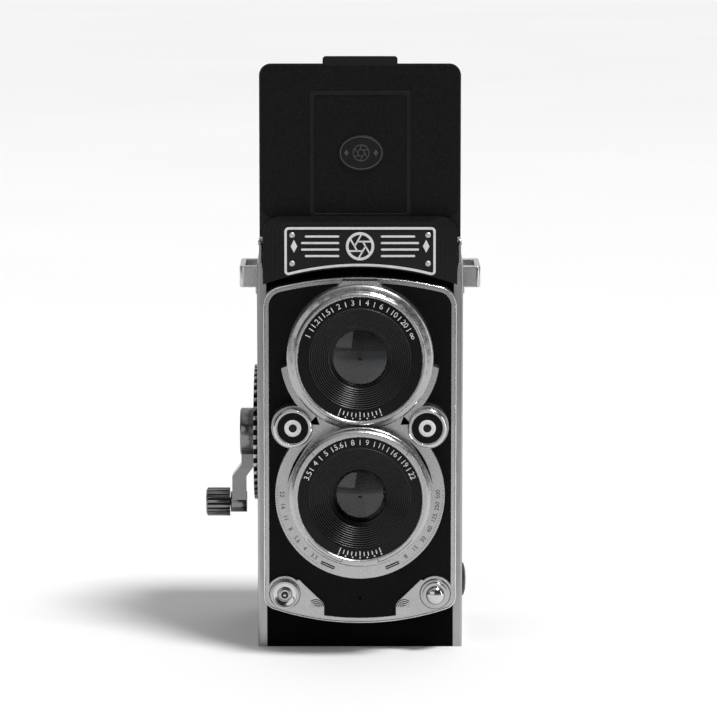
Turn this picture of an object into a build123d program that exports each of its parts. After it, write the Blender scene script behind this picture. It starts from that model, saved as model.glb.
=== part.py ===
"""Twin lens reflex camera for 6 x 6 roll film, standing with its finder hood raised.

Millimetres, +Z up, the lenses look along -Y and +X is on the right when facing them. The origin is the
mouth of the tripod socket, in the middle of the base. Each sub-part is one STEP file, named after its node.
"""

import os
from math import atan2, cos, degrees, pi, radians, sin, sqrt

from build123d import *

# ---- driving dimensions --------------------------------------------------------------------------
HALF_WIDTH = 38.0  # outside of the side plates
FRONT = -36.0  # front face of the die-cast body
REAR = 31.5  # rear edge of the body, where the back door closes
DOOR_REAR = 37.5  # outer face of the back door
SHOULDER = 144.0  # top of the body, under the finder hood
PLATE = 1.6  # thickness of an aluminium side plate
CAST = HALF_WIDTH - PLATE  # half width of the casting
LIP = 3.4  # visible front strip of a side plate
INSIDE = 32.8  # half width of the film chambers
BASE_TOP = 1.5  # thickness of the base plate

TAKING_Z = 60.45  # axis of the lower, taking lens
VIEWING_Z = 111.25  # axis of the upper, viewing lens
BOARD_FRONT = FRONT - 8.0  # front of the lens board's rim, focused at infinity
BOARD_BACK = FRONT - 0.35
BOARD_HALF = 35.5
BOARD_LOW, BOARD_HIGH = 10.6, 139.6
BOARD_LOW_ARC, BOARD_HIGH_ARC = 100.0, 130.0  # radii of the bowed lower and upper edges
BOARD_LOW_R, BOARD_HIGH_R = 5.0, 7.5  # radii of its corners
TRIM = 1.9  # width of the board's bright rim
PINHOLE_Z = 20.0
SHUTTER_FRONT = FRONT - 16.0  # face of the chrome shutter cover
VIEWING_FRONT = FRONT - 22.0
TAKING_FRONT = FRONT - 26.0

VIEWING_FLANGE_R, VIEWING_NOSE_R, VIEWING_BORE = 26.8, 24.5, 22.7
TAKING_RING_R, TAKING_BORE = 25.9, 22.6
SLEEVE_R = 23.9  # rear sleeve of the taking lens ring, which carries the setting rings
BAND_R = 18.95  # inner edge of the flat band round each lens's ribs
COVER_R, COVER_EAR_R = 31.1, 29.1  # lower disc of the shutter cover and its ears round the viewing lens
COVER_INSIDE = 29.9
COVER_DROP = 0.4  # the lower disc is centred this far below the taking lens

WHEEL_X, WHEEL_Z = 24.6, 85.3  # aperture wheel at -X, speed wheel at +X
WHEEL_R, COLLAR_R = 7.1, 7.9
SOCKET_X, SOCKET_Z = 27.8, 21.8  # flash socket at -X, release button at +X
COLLAR_BACK = BOARD_FRONT - 1.0  # face of the corner plates, under the socket and the release

GATE = 56.0  # film gate, square
GATE_FRONT, FILM_Y = 23.5, 26.5
SPOOL_Y = 14.0
SUPPLY_Z, TAKE_UP_Z = 15.8, 104.0
SPOOL_R, SPOOL_HALF = 12.5, 32.5
SPOOL_SOCKET_R, SPOOL_PIN_R = 2.9, 2.6
ROLLER_Y, ROLLER_R = 25.5, 2.2
ROLLER_LOW_Z, ROLLER_HIGH_Z = 28.8, 92.2

CRANK_Z = 75.4  # axis of the film crank and of the focusing dial, at y = 0
DIAL_R = 25.5
DIAL_GROOVES = 44
CRANK_DROP = 26.9  # crank axis down to the knob's axis
FILM_TEETH, TAKE_UP_TEETH = 44, 28
PINION_TEETH, PINION_R = 12, 4.0  # focusing pinion, 6 mm of focusing travel in 86 degrees
FILM_GEAR_X0, FILM_GEAR_X1 = -34.45, -33.7
GUIDE_X0, GUIDE_X1 = 34.7, 35.5  # focusing guide arms, one each side, the left one toothed
GUIDE_LOW, GUIDE_TOP = 66.0, 70.5
GUIDE_END = 11.0
SKIRT_LOW, SKIRT_HIGH = 20.0, 131.0  # light-tight sleeve behind the lens board
WHEEL_TEETH, RING_TEETH = 26, 116  # wheel pinions and the rings round the taking lens
SETTING_DISTANCE = sqrt(WHEEL_X**2 + (WHEEL_Z - TAKING_Z) ** 2)
RING_R = SETTING_DISTANCE * RING_TEETH / (WHEEL_TEETH + RING_TEETH)
WHEEL_PINION_R = SETTING_DISTANCE - RING_R
APERTURE_Y = (SHUTTER_FRONT + 2.1, SHUTTER_FRONT + 3.3)  # planes of the two setting rings
SPEED_Y = (SHUTTER_FRONT + 4.3, SHUTTER_FRONT + 5.5)

MIRROR_Y, MIRROR_Z = -1.5, 114.5  # middle of the reflex mirror's face
SCREEN_Z = 145.0

STEPS = 5  # steps of the nameplate housing
STEP_IN = 1.65
HOUSING_HALF, HOUSING_LOW, HOUSING_TOP = 35.75, 142.6, 161.4
ARCH_R = 105.4  # lower edges of the housing and of the nameplate
HOUSING_FRONT = FRONT - 3.0 - (STEPS - 1)
NAMEPLATE_HALF, NAMEPLATE_LOW, NAMEPLATE_HIGH = 27.85, 143.6, 158.3
NAMEPLATE_FRONT = HOUSING_FRONT - 0.8
RIVET_X, RIVET_LOW_Z, RIVET_HIGH_Z = 24.9, 144.7, 155.2

LID_HINGE_Y, LID_HINGE_Z = -31.0, 151.0
LID_FRONT, LID_BACK = -34.6, -33.4
LID_HALF, LID_LOW, LID_TOP = 37.0, 153.5, 217.3
TAB_HALF, TAB_TOP = 13.75, 220.0
FLAP_LOW, FLAP_HIGH, FLAP_HALF = 161.8, 206.8, 18.0
FLAP_HINGE_Y, FLAP_HINGE_Z = -32.2, FLAP_LOW + 0.8
WING_X, WING_HINGE_Z = 34.6, 147.8
REAR_HINGE_Y, REAR_HINGE_Z = 30.5, 149.3
MAGNIFIER_HINGE_Z, MAGNIFIER_Y = FLAP_HIGH - 5.0, -32.2
MAGNIFIER_R = 12.0
MAGNIFIER_Z = MAGNIFIER_HINGE_Z - 15.0
DOOR_HINGE_Y, DOOR_HINGE_Z = 34.6, 141.5

RUN = 0.06  # radial clearance of a running fit
GAP = 0.3  # clearance between parts that move past each other


# ---- shape helpers -------------------------------------------------------------------------------
def block(x0, x1, y0, y1, z0, z1):
    """A box between two corners."""
    return Pos((x0 + x1) / 2, (y0 + y1) / 2, (z0 + z1) / 2) * Box(abs(x1 - x0), abs(y1 - y0), abs(z1 - z0))


def rod_x(r, x0, x1, y, z):
    return Pos((x0 + x1) / 2, y, z) * Rot(0, 90, 0) * Cylinder(r, abs(x1 - x0))


def rod_y(r, y0, y1, x, z):
    return Pos(x, (y0 + y1) / 2, z) * Rot(90, 0, 0) * Cylinder(r, abs(y1 - y0))


def rod_z(r, z0, z1, x, y):
    return Pos(x, y, (z0 + z1) / 2) * Cylinder(r, abs(z1 - z0))


def face_of(points):
    """A flat face inside straight lines through 2-D points."""
    return make_face(Polyline(*points, close=True))


def plate_y(face, y0, y1):
    """A face drawn in (x, z), thickened from y0 to y1."""
    return Pos(0, max(y0, y1), 0) * extrude(Plane.XZ * face, abs(y1 - y0))


def plate_x(face, x0, x1):
    """A face drawn in (y, z), thickened from x0 to x1."""
    return Pos(min(x0, x1), 0, 0) * extrude(Plane.YZ * face, abs(x1 - x0))


def turned_y(points, x, z):
    """A solid turned about a line along Y, from (radius, y) points."""
    return Pos(x, 0, z) * revolve(face_of(points), Axis.Y)


def turned_x(points, y, z):
    """A solid turned about a line along X, from (x, radius) points."""
    return Pos(0, y, z) * revolve(face_of(points), Axis.X)


def disc(r, x=0.0, y=0.0):
    """A flat disc in the drawing plane."""
    return Pos(x, y) * Circle(r)


def mirrored(solid):
    """The same solid on the other side of the camera."""
    return mirror(solid, Plane.YZ)


def save(name, *solids):
    """Write one node, as one or more separate solids."""
    pieces = [s for shape in solids for s in shape.solids()]
    export_step(pieces[0] if len(pieces) == 1 else Compound(children=pieces), f"parts/{name}.step")


# ---- gears ---------------------------------------------------------------------------------------
def gear_face(teeth, pitch_r, first_deg=0.0, each_side=None, hub_r=None):
    """A gear outline with one tooth pointing to first_deg; each_side keeps only that many beside it."""
    module = 2 * pitch_r / teeth
    root, tip = pitch_r - 1.1 * module, pitch_r + 0.8 * module
    pitch_angle = 2 * pi / teeth
    wide, narrow = 0.24 * pitch_angle, 0.11 * pitch_angle
    points = []
    for i in range(teeth) if each_side is None else range(-each_side, each_side + 1):
        for radius, turn in ((root, -wide), (tip, -narrow), (tip, narrow), (root, wide)):
            a = radians(first_deg) + i * pitch_angle + turn
            points.append((radius * cos(a), radius * sin(a)))
    if each_side is None:
        return face_of(points)
    inwards = 0.96 * hub_r / root
    ends = [(inwards * x, inwards * y) for x, y in (points[-1], points[0])]
    return Sketch() + face_of(points + ends) + disc(hub_r)


def gear_phase(driver_teeth, driver_first, own_teeth, line_deg):
    """Where a gear's first tooth points so that it meshes with a driver lying along line_deg from it."""
    pitch_driver, pitch_own = 360.0 / driver_teeth, 360.0 / own_teeth
    past_tooth = ((line_deg - 180.0 - driver_first) / pitch_driver) % 1.0
    return line_deg + (past_tooth + 0.5) * pitch_own


# ---- outlines ------------------------------------------------------------------------------------
def board_face(inset=0.0):
    """The lens board's outline in (x, z): upright sides, bowed bottom and top, rounded corners."""
    w, lo, hi = BOARD_HALF - inset, BOARD_LOW + inset, BOARD_HIGH - inset
    ra, rb = BOARD_LOW_ARC - inset, BOARD_HIGH_ARC - inset
    z_low = lo + ra - sqrt(ra * ra - w * w)
    z_high = hi - rb + sqrt(rb * rb - w * w)
    outline = Wire(
        [
            *ThreePointArc((-w, z_low), (0, lo), (w, z_low)).edges(),
            *Line((w, z_low), (w, z_high)).edges(),
            *ThreePointArc((w, z_high), (0, hi), (-w, z_high)).edges(),
            *Line((-w, z_high), (-w, z_low)).edges(),
        ]
    )
    face = make_face(outline.edges())
    corners = face.vertices().sort_by(Axis.Y)
    face = fillet(corners[:2], BOARD_LOW_R - inset)
    corners = [v for v in face.vertices() if v.Y > (lo + hi) / 2 and abs(abs(v.X) - w) < 0.01]
    return fillet(corners, BOARD_HIGH_R - inset)


# ---- camera body ---------------------------------------------------------------------------------
def crank_to_take_up():
    """Centre distance and direction (degrees in (y, z)) from the crank's axis to the take-up spool's."""
    dy, dz = SPOOL_Y, TAKE_UP_Z - CRANK_Z
    return sqrt(dy * dy + dz * dz), degrees(atan2(dz, dy))


def film_gear_radii():
    distance, _ = crank_to_take_up()
    total = FILM_TEETH + TAKE_UP_TEETH
    return distance * FILM_TEETH / total, distance * TAKE_UP_TEETH / total


def body_casting():
    """Die-cast body: film chambers open to the back, mirror chamber to the top and an open front."""
    shell = block(-CAST, CAST, FRONT + 3, REAR, BASE_TOP, SHOULDER)
    shell += block(-HALF_WIDTH + LIP, HALF_WIDTH - LIP, FRONT, FRONT + 3, BASE_TOP, SHOULDER)
    shell -= block(-INSIDE, INSIDE, FRONT + 2.5, REAR + 1, 3.0, SHOULDER - 3)
    shell -= block(-28.5, 28.5, -29.5, 27.5, SHOULDER - 4, SHOULDER + 1)
    shell -= block(-30.7, 30.7, FRONT - 1, FRONT + 4, SKIRT_LOW - 0.4, SKIRT_HIGH + 0.4)
    big, small = film_gear_radii()
    pocket = disc(big + 1.6, 0, CRANK_Z) + disc(small + 1.6, SPOOL_Y, TAKE_UP_Z)
    shell -= plate_x(pocket, -CAST - 1, -33.5)
    for side in (-1, 1):
        x0, x1 = sorted((side * (CAST + 1), side * (GUIDE_X0 - 0.3)))
        shell -= block(x0, x1, FRONT - 1, GUIDE_END + 1, GUIDE_LOW - 0.4, GUIDE_TOP + 2.0)
    shell -= rod_z(5.6, 0, 4, 0, 0)
    for z in (ROLLER_LOW_Z, ROLLER_HIGH_Z):
        shell -= rod_x(1.0 + RUN, -34.0, 34.0, ROLLER_Y, z)
    shell -= rod_x(2.5 + RUN, -34.0, -32.0, 0, CRANK_Z)
    shell -= rod_x(SPOOL_PIN_R + RUN, -34.0, -32.0, SPOOL_Y, TAKE_UP_Z)
    shell -= rod_x(SPOOL_PIN_R + RUN, 32.0, 37.0, SPOOL_Y, SUPPLY_Z)
    shell += rod_x(SPOOL_PIN_R, 29.5, INSIDE + 0.5, SPOOL_Y, TAKE_UP_Z)
    shell += rod_x(SPOOL_PIN_R, -INSIDE - 0.5, -29.5, SPOOL_Y, SUPPLY_Z)
    for side in (-1, 1):
        lug = block(side * 26, side * 34, 31.0, DOOR_HINGE_Y, 139.7, 143.3)
        lug += rod_x(1.9, side * 26, side * 34, DOOR_HINGE_Y, DOOR_HINGE_Z)
        shell += lug - rod_x(1.0, side * 25, side * 35, DOOR_HINGE_Y, DOOR_HINGE_Z)
    return shell


def side_plate(left):
    """Aluminium side plate with a front lip, and a shallow recess for its leather."""
    plate = block(CAST, HALF_WIDTH, FRONT, REAR, 0, SHOULDER)
    inner = HALF_WIDTH - LIP
    corner = [(CAST - 0.2, SHOULDER), (CAST - 0.6, SHOULDER - 3.2), (inner, SHOULDER - 5.5)]
    plate += plate_y(face_of([(inner, 0), (CAST, 0), (CAST, SHOULDER), *corner]), FRONT, FRONT + 3)
    front_edge = plate.edges().filter_by(Axis.Z).sort_by(Axis.Y)[:2].sort_by(Axis.X)[-1]
    plate = fillet(front_edge, 0.9)
    plate -= block(HALF_WIDTH - 0.6, HALF_WIDTH + 1, FRONT + 5, REAR - 4, 6, 138)
    plate -= block(30, GUIDE_X1 + GAP, FRONT - 1, FRONT + 4, GUIDE_LOW - 0.4, GUIDE_TOP + 2.0)
    if left:
        plate = mirrored(plate)
        return plate - rod_x(3.2 + RUN, -39, -35, 0, CRANK_Z)
    return plate - rod_x(SPOOL_PIN_R + RUN, 35, 39, SPOOL_Y, SUPPLY_Z)


def side_leathers():
    """Leatherette panels let into both side plates."""
    outline = Pos((FRONT + REAR + 1) / 2, 72) * RectangleRounded(REAR - FRONT - 9.4, 131.6, 2.5)
    panel = plate_x(outline, HALF_WIDTH - 0.6, HALF_WIDTH - 0.1)
    left = mirrored(panel) - rod_x(4.2, -39, -35, 0, CRANK_Z)
    return left, panel - rod_x(3.0, 35, 39, SPOOL_Y, SUPPLY_Z)


def base_plate():
    plate = block(-CAST, CAST, FRONT + 3, REAR, 0, BASE_TOP)
    plate += block(-HALF_WIDTH + LIP, HALF_WIDTH - LIP, FRONT, FRONT + 3, 0, BASE_TOP)
    return plate - rod_z(8.0, -1, 2, 0, 0)


def tripod_socket():
    """Threaded insert for a quarter-inch tripod screw: the thread is a plain hole of its major radius."""
    socket = rod_z(8.0, 0, BASE_TOP, 0, 0) + rod_z(5.6, BASE_TOP, 8.0, 0, 0)
    return socket - rod_z(3.175, -1, 6.0, 0, 0)


def film_gate():
    """Light chamber that widens from the taking lens to the square film gate, with the gate's frame."""

    def tunnel(front_half, rear_half):
        ends = []
        for y, half in ((-27, front_half), (GATE_FRONT + 0.5, rear_half)):
            across = Plane((0, y, TAKING_Z), x_dir=(1, 0, 0), z_dir=(0, 1, 0))
            ends.append((across * Rectangle(2 * half, 2 * half)).face())
        return loft(ends)

    gate = tunnel(20.2, GATE / 2 + 0.9) + block(-INSIDE, INSIDE, GATE_FRONT, FILM_Y, 31.4, 89.6)
    gate -= tunnel(19.0, GATE / 2 - 0.3)
    half = GATE / 2
    return gate - block(-half, half, GATE_FRONT - 0.4, FILM_Y + 1, TAKING_Z - half, TAKING_Z + half)


def guide_roller(z):
    roller = rod_x(ROLLER_R, -30.5, 30.5, ROLLER_Y, z)
    return roller + rod_x(1.0, -33.3, 33.3, ROLLER_Y, z)


def tilted(x, length, thick, depth):
    """A slab parallel to the reflex mirror, its top face depth below the mirror's face."""
    return Pos(0, MIRROR_Y, MIRROR_Z) * Rot(45, 0, 0) * Pos(0, 0, -depth - thick / 2) * Box(x, length, thick)


def mirror_frame():
    return tilted(2 * INSIDE, 70, 1.5, 1.5)


def reflex_mirror():
    return tilted(GATE, 69, 1.5, 0.0)


def focusing_screen():
    return block(-29.9, 29.9, -30.9, 28.9, SCREEN_Z, SCREEN_Z + 1.6)


def strap_lugs():
    """Rectangular strap loops on both sides, each on a mounting plate with one screw below it."""
    loop = block(38, 45.2, -8, 18, 131.5, 139.5)
    upright = loop.edges().filter_by(Axis.Z).sort_by(Axis.X)[-2:]
    loop = fillet(upright, 1.6)
    loop -= block(38.9, 43.1, -5, 15, 130, 141)
    loop += block(38, 38.9, -3, 13, 127.5, 131.5)
    loop -= rod_x(1.2, 37, 40, 5, 129.4)
    return mirrored(loop), loop


def trim_screws():
    """Countersunk lug screws and the four domed nameplate rivets."""
    screw = rod_x(1.15, 38.0, 38.95, 5, 129.4) + rod_x(1.9, 38.9, 39.5, 5, 129.4)
    y = NAMEPLATE_FRONT
    rivets = []
    for x in (-RIVET_X, RIVET_X):
        for z in (RIVET_LOW_Z, RIVET_HIGH_Z):
            rivets.append(Pos(x, y + 0.9, z) * Sphere(1.4) & rod_y(1.1, y - 1, y, x, z))
    return (screw, mirrored(screw), *rivets)


# ---- nameplate -----------------------------------------------------------------------------------
def arched(half, low, high, corner):
    """An upright panel in (x, z) with rounded top corners and an arched lower edge."""
    z_side = low - ARCH_R + sqrt(ARCH_R**2 - half**2)
    edges = [
        *Line((-half, z_side), (-half, high)).edges(),
        *Line((-half, high), (half, high)).edges(),
        *Line((half, high), (half, z_side)).edges(),
        *ThreePointArc((half, z_side), (0, low), (-half, z_side)).edges(),
    ]
    face = make_face(edges)
    return fillet(face.vertices().sort_by(Axis.Y)[-2:], corner)


def nameplate_housing():
    """Black housing whose front rises in narrow steps to the nameplate."""
    housing = plate_y(arched(HOUSING_HALF, HOUSING_LOW, HOUSING_TOP, 6.5), FRONT, FRONT - 3)
    for i in range(1, STEPS):
        layer = arched(HOUSING_HALF - STEP_IN * i, HOUSING_LOW + 0.12 * i, HOUSING_TOP - 0.35 * i, 6.5 - i)
        housing += plate_y(layer, FRONT - 2 - i, FRONT - 3 - i)
    return housing


def nameplate():
    outline = arched(NAMEPLATE_HALF, NAMEPLATE_LOW, NAMEPLATE_HIGH, 1.8)
    low = outline.vertices().sort_by(Axis.Y)[:2]
    return plate_y(fillet(low, 1.6), HOUSING_FRONT, NAMEPLATE_FRONT)


# ---- finder hood ---------------------------------------------------------------------------------
def hood_base_frame():
    """Frame on top of the body: seats the focusing screen and carries the wing and rear panel hinges."""
    frame = block(-36.2, 36.2, FRONT + 0.2, 33.5, SHOULDER, 147)
    frame -= block(-28.5, 28.5, -29.5, 27.5, 143, 148)
    frame -= block(-30, 30, -31, 29, SCREEN_Z, 148)
    for side in (-1, 1):
        for y0, y1 in ((-30.6, -28.2), (28.6, 30.2)):
            frame += block(side * 33.6, side * 35.8, y0, y1, 146.5, 149)
        frame -= rod_y(0.6, -31, 31, side * WING_X, WING_HINGE_Z)
        frame += block(side * 31.3, side * 33.0, 29.3, 31.9, 146.5, 150.3)
        frame -= block(side * 33.3, side * 36.4, -27.9, 28.3, 146.3, 148)
    return frame - rod_x(0.6, -34, 34, REAR_HINGE_Y, REAR_HINGE_Z)


def hood_side_rails():
    """Thin bright strips along both shoulders, with an ear at the front for the lid's pivot."""
    front, top = FRONT + 0.4, 150.5
    side = face_of([(front, SHOULDER), (33.5, SHOULDER), (33.5, top - 1), (32.5, top), (front, top)])
    ear = Sketch() + side + disc(2.0, LID_HINGE_Y, LID_HINGE_Z)
    rail = plate_x(ear, 36.4, 37.2) - rod_x(0.8, 36, 38, LID_HINGE_Y, LID_HINGE_Z)
    return rail, mirrored(rail)


def hinge_pins():
    """Pivot pins held by the body: lid, wings, rear panel and back door."""
    lid = rod_x(0.8, 33.2, 37.2, LID_HINGE_Y, LID_HINGE_Z) + rod_x(0.9, 37.2, 37.6, LID_HINGE_Y, LID_HINGE_Z)
    wing = rod_y(0.6, -30.6, 30.2, WING_X, WING_HINGE_Z)
    rear = rod_x(0.6, -33.0, 33.0, REAR_HINGE_Y, REAR_HINGE_Z)
    door = rod_x(1.0, -34, 34, DOOR_HINGE_Y, DOOR_HINGE_Z)
    return lid, mirrored(lid), wing, mirrored(wing), rear, door


def hood_lid():
    """Front panel of the hood with the sports finder's opening, a lift tab and the pivot knuckles."""
    upper = Pos(0, (LID_LOW + LID_TOP) / 2) * Rectangle(2 * LID_HALF, LID_TOP - LID_LOW)
    upper = fillet(upper.vertices().sort_by(Axis.Y)[-2:], 4.3)
    panel = upper + Pos(0, LID_LOW - 1) * Rectangle(71.6, 5.0)
    panel += Pos(0, TAB_TOP - 3) * RectangleRounded(2 * TAB_HALF, 6.0, 1.2)
    panel -= Pos(0, (FLAP_LOW + FLAP_HIGH) / 2) * Rectangle(2 * FLAP_HALF, FLAP_HIGH - FLAP_LOW)
    lid = plate_y(panel, LID_FRONT, LID_BACK)
    for side in (-1, 1):
        lid += block(side * 33.4, side * 35.8, LID_FRONT + 0.2, LID_HINGE_Y, 150.2, 152.1)
        lid += rod_x(1.5, side * 33.4, side * 35.8, LID_HINGE_Y, LID_HINGE_Z)
        lid -= rod_x(0.8 + RUN, side * 33.0, side * 37.0, LID_HINGE_Y, LID_HINGE_Z)
        x0, x1 = side * 12.3, side * 14.5
        lid += block(x0, x1, LID_BACK - 0.5, FLAP_HINGE_Y + 0.9, FLAP_LOW - 2.0, FLAP_LOW - 0.1)
        lid += block(x0, x1, FLAP_HINGE_Y - 0.9, FLAP_HINGE_Y + 0.9, FLAP_LOW - 1.0, FLAP_LOW + 1.5)
    return lid + rod_x(0.4, -14.5, 14.5, FLAP_HINGE_Y, FLAP_HINGE_Z)


def sports_flap():
    """Centre panel of the lid: it drops inwards about its lower edge to open the sports finder."""
    outline = RectangleRounded(2 * (FLAP_HALF - GAP), FLAP_HIGH - FLAP_LOW - 2 * GAP, 0.6)
    flap = plate_y(Pos(0, (FLAP_LOW + FLAP_HIGH) / 2) * outline, LID_FRONT, LID_BACK)
    ear_low, ear_high = MAGNIFIER_HINGE_Z - 1, MAGNIFIER_HINGE_Z + 1
    for side in (-1, 1):
        flap -= block(side * 12.0, side * 14.8, LID_FRONT - 1, LID_BACK + 1, FLAP_LOW - 1.0, FLAP_LOW + 2.2)
        flap += block(side * 7.0, side * 8.6, LID_BACK, MAGNIFIER_Y + 1.0, ear_low, ear_high)
    flap += rod_x(0.9, -12.0, 12.0, FLAP_HINGE_Y, FLAP_HINGE_Z)
    flap += block(-12.0, 12.0, LID_BACK, FLAP_HINGE_Y, FLAP_HINGE_Z - 0.6, FLAP_HINGE_Z + 0.6)
    flap -= rod_x(0.4 + RUN, -12.5, 12.5, FLAP_HINGE_Y, FLAP_HINGE_Z)
    return flap + rod_x(0.4, -8.6, 8.6, MAGNIFIER_Y, MAGNIFIER_HINGE_Z)


def magnifier_frame():
    """Ring and arm of the focusing magnifier, folded flat behind the sports finder flap."""
    frame = rod_y(MAGNIFIER_R, -33.0, -30.6, 0, MAGNIFIER_Z)
    frame += block(-5.5, 5.5, -33.0, -31.4, MAGNIFIER_Z + 8, MAGNIFIER_HINGE_Z)
    frame += rod_x(1.0, -6.7, 6.7, MAGNIFIER_Y, MAGNIFIER_HINGE_Z)
    frame -= rod_y(10.4, -34, -30, 0, MAGNIFIER_Z)
    return frame - rod_x(0.4 + RUN, -7, 7, MAGNIFIER_Y, MAGNIFIER_HINGE_Z)


def magnifier_lens():
    return turned_y([(0, -33.0), (10.4, -32.4), (10.4, -31.4), (0, -30.7)], 0, MAGNIFIER_Z)


def hood_wing():
    """Right-hand side panel of the hood, with slanting ends that let it fold under the lid."""
    front, rear = [(-27.4, 148.3), (-27.4, 154.5), (-3, 181.3)], [(14, 166.5), (27.9, 150.3), (27.9, 148.3)]
    profile = [*front, (14, 181.3), *rear]
    wing = plate_x(face_of(profile), WING_X - 0.45, WING_X + 0.45)
    wing += rod_y(1.1, -27.4, 27.9, WING_X, WING_HINGE_Z)
    return wing - rod_y(0.6 + RUN, -28, 28.5, WING_X, WING_HINGE_Z)


def rear_panel():
    """Short back panel of the hood, folded last before the lid."""
    panel = block(-31, 31, REAR_HINGE_Y - 0.5, REAR_HINGE_Y + 0.5, 149.8, 164.3)
    panel += rod_x(1.0, -31, 31, REAR_HINGE_Y, REAR_HINGE_Z)
    return panel - rod_x(0.6 + RUN, -32, 32, REAR_HINGE_Y, REAR_HINGE_Z)


# ---- back door -----------------------------------------------------------------------------------
def back_door():
    """Shallow pressed door, hung from the top edge of the body."""
    door = block(-HALF_WIDTH, HALF_WIDTH, REAR + GAP, DOOR_REAR, 0.8, 138.8)
    door = fillet(door.edges().filter_by(Axis.Z).sort_by(Axis.Y)[-2:], 3.0)
    door -= block(-CAST, CAST, REAR - 1, DOOR_REAR - 1.6, 2.4, 137.2)
    door += rod_x(1.9, -25.6, 25.6, DOOR_HINGE_Y, DOOR_HINGE_Z)
    door += block(-25.6, 25.6, DOOR_HINGE_Y - 1.0, DOOR_HINGE_Y + 1.9, 138.0, DOOR_HINGE_Z)
    door -= block(-4.6, 4.6, 34, 39, 7.0, 14.4)
    return door - rod_x(1.0 + RUN, -26, 26, DOOR_HINGE_Y, DOOR_HINGE_Z)


def pressure_plate():
    return block(-31, 31, FILM_Y + 0.4, FILM_Y + 1.9, 33, 88)


def pressure_spring():
    """Bowed leaf between the pressure plate and the door."""
    y0, y1 = FILM_Y + 1.9, DOOR_REAR - 1.6
    outer = ThreePointArc((y0, 42), (y1, TAKING_Z), (y0, 79))
    inner = ThreePointArc((y0, 76.6), (y1 - 0.4, TAKING_Z), (y0, 44.4))
    ends = [Line((y0, 79), (y0, 76.6)), Line((y0, 44.4), (y0, 42))]
    face = make_face(outer.edges() + inner.edges() + ends[0].edges() + ends[1].edges())
    return plate_x(face, -6, 6)


def back_latch():
    """Sliding catch of the door, drawn released; it goes down 3 mm to lock."""
    thumb = block(-8, 8, DOOR_REAR + 0.1, DOOR_REAR + 1.3, 7.4, 14.0)
    thumb = fillet(thumb.edges().filter_by(Axis.Y), 1.4)
    for i in range(4):
        z = 8.9 + 1.3 * i
        thumb += block(-6, 6, DOOR_REAR + 1.2, DOOR_REAR + 1.7, z, z + 0.6)
    hook = block(-4, 4, 28.0, DOOR_REAR + 0.3, 11.2, 13.4) + block(-4, 4, 28.0, 29.4, 8.0, 11.4)
    return thumb + hook


# ---- film transport ------------------------------------------------------------------------------
def spool(z):
    """Film spool: two flanges, a core, sockets for the pins and a key slot in the left end."""
    body = rod_x(5.6, -SPOOL_HALF, SPOOL_HALF, SPOOL_Y, z)
    for side in (-1, 1):
        body += rod_x(SPOOL_R, side * (SPOOL_HALF - 1.4), side * SPOOL_HALF, SPOOL_Y, z)
        body -= rod_x(SPOOL_SOCKET_R, side * (SPOOL_HALF - 4), side * (SPOOL_HALF + 1), SPOOL_Y, z)
    body -= block(-SPOOL_HALF - 1, -SPOOL_HALF + 3, SPOOL_Y - 4.4, SPOOL_Y + 4.4, z - 0.8, z + 0.8)
    return body - block(-25, 25, SPOOL_Y - 0.6, SPOOL_Y + 0.6, z - 7, z + 7)


def take_up_gear():
    """Driven gear whose shaft carries the key that turns the take-up spool."""
    _, small = film_gear_radii()
    _, line = crank_to_take_up()
    face = gear_face(TAKE_UP_TEETH, small, gear_phase(FILM_TEETH, line, TAKE_UP_TEETH, line + 180))
    gear = plate_x(Pos(SPOOL_Y, TAKE_UP_Z) * face, FILM_GEAR_X0, FILM_GEAR_X1)
    gear += rod_x(SPOOL_PIN_R, FILM_GEAR_X1 - 0.2, -29.5, SPOOL_Y, TAKE_UP_Z)
    key = block(-SPOOL_HALF + 0.3, -30.0, SPOOL_Y - 4.0, SPOOL_Y + 4.0, TAKE_UP_Z - 0.6, TAKE_UP_Z + 0.6)
    return gear + key


def crank_shaft():
    """Crank shaft with the film gear on its inner end."""
    big, _ = film_gear_radii()
    _, line = crank_to_take_up()
    gear = plate_x(Pos(0, CRANK_Z) * gear_face(FILM_TEETH, big, line), FILM_GEAR_X0, FILM_GEAR_X1)
    return gear + rod_x(2.5, -41.0, -32.9, 0, CRANK_Z)


def focus_dial():
    """Knurled focusing dial with a hollow hub that ends in the focusing pinion."""
    rim = PolarLocations(DIAL_R, DIAL_GROOVES)
    face = Circle(DIAL_R) - [loc * Rectangle(1.7, 2.1) for loc in rim]
    dial = plate_x(Pos(0, CRANK_Z) * face, -39.85, -38.15)
    dial += rod_x(3.2, -39.0, -GUIDE_X0, 0, CRANK_Z)
    pinion = gear_face(PINION_TEETH, PINION_R, 270.0 + 180.0 / PINION_TEETH)
    dial += plate_x(Pos(0, CRANK_Z) * pinion, -GUIDE_X1, -GUIDE_X0)
    dial -= rod_x(17.0, -40.5, -39.45, 0, CRANK_Z) - rod_x(10.2, -40.5, -39.4, 0, CRANK_Z)
    return dial - rod_x(2.5 + RUN, -41, -34, 0, CRANK_Z)


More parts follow.
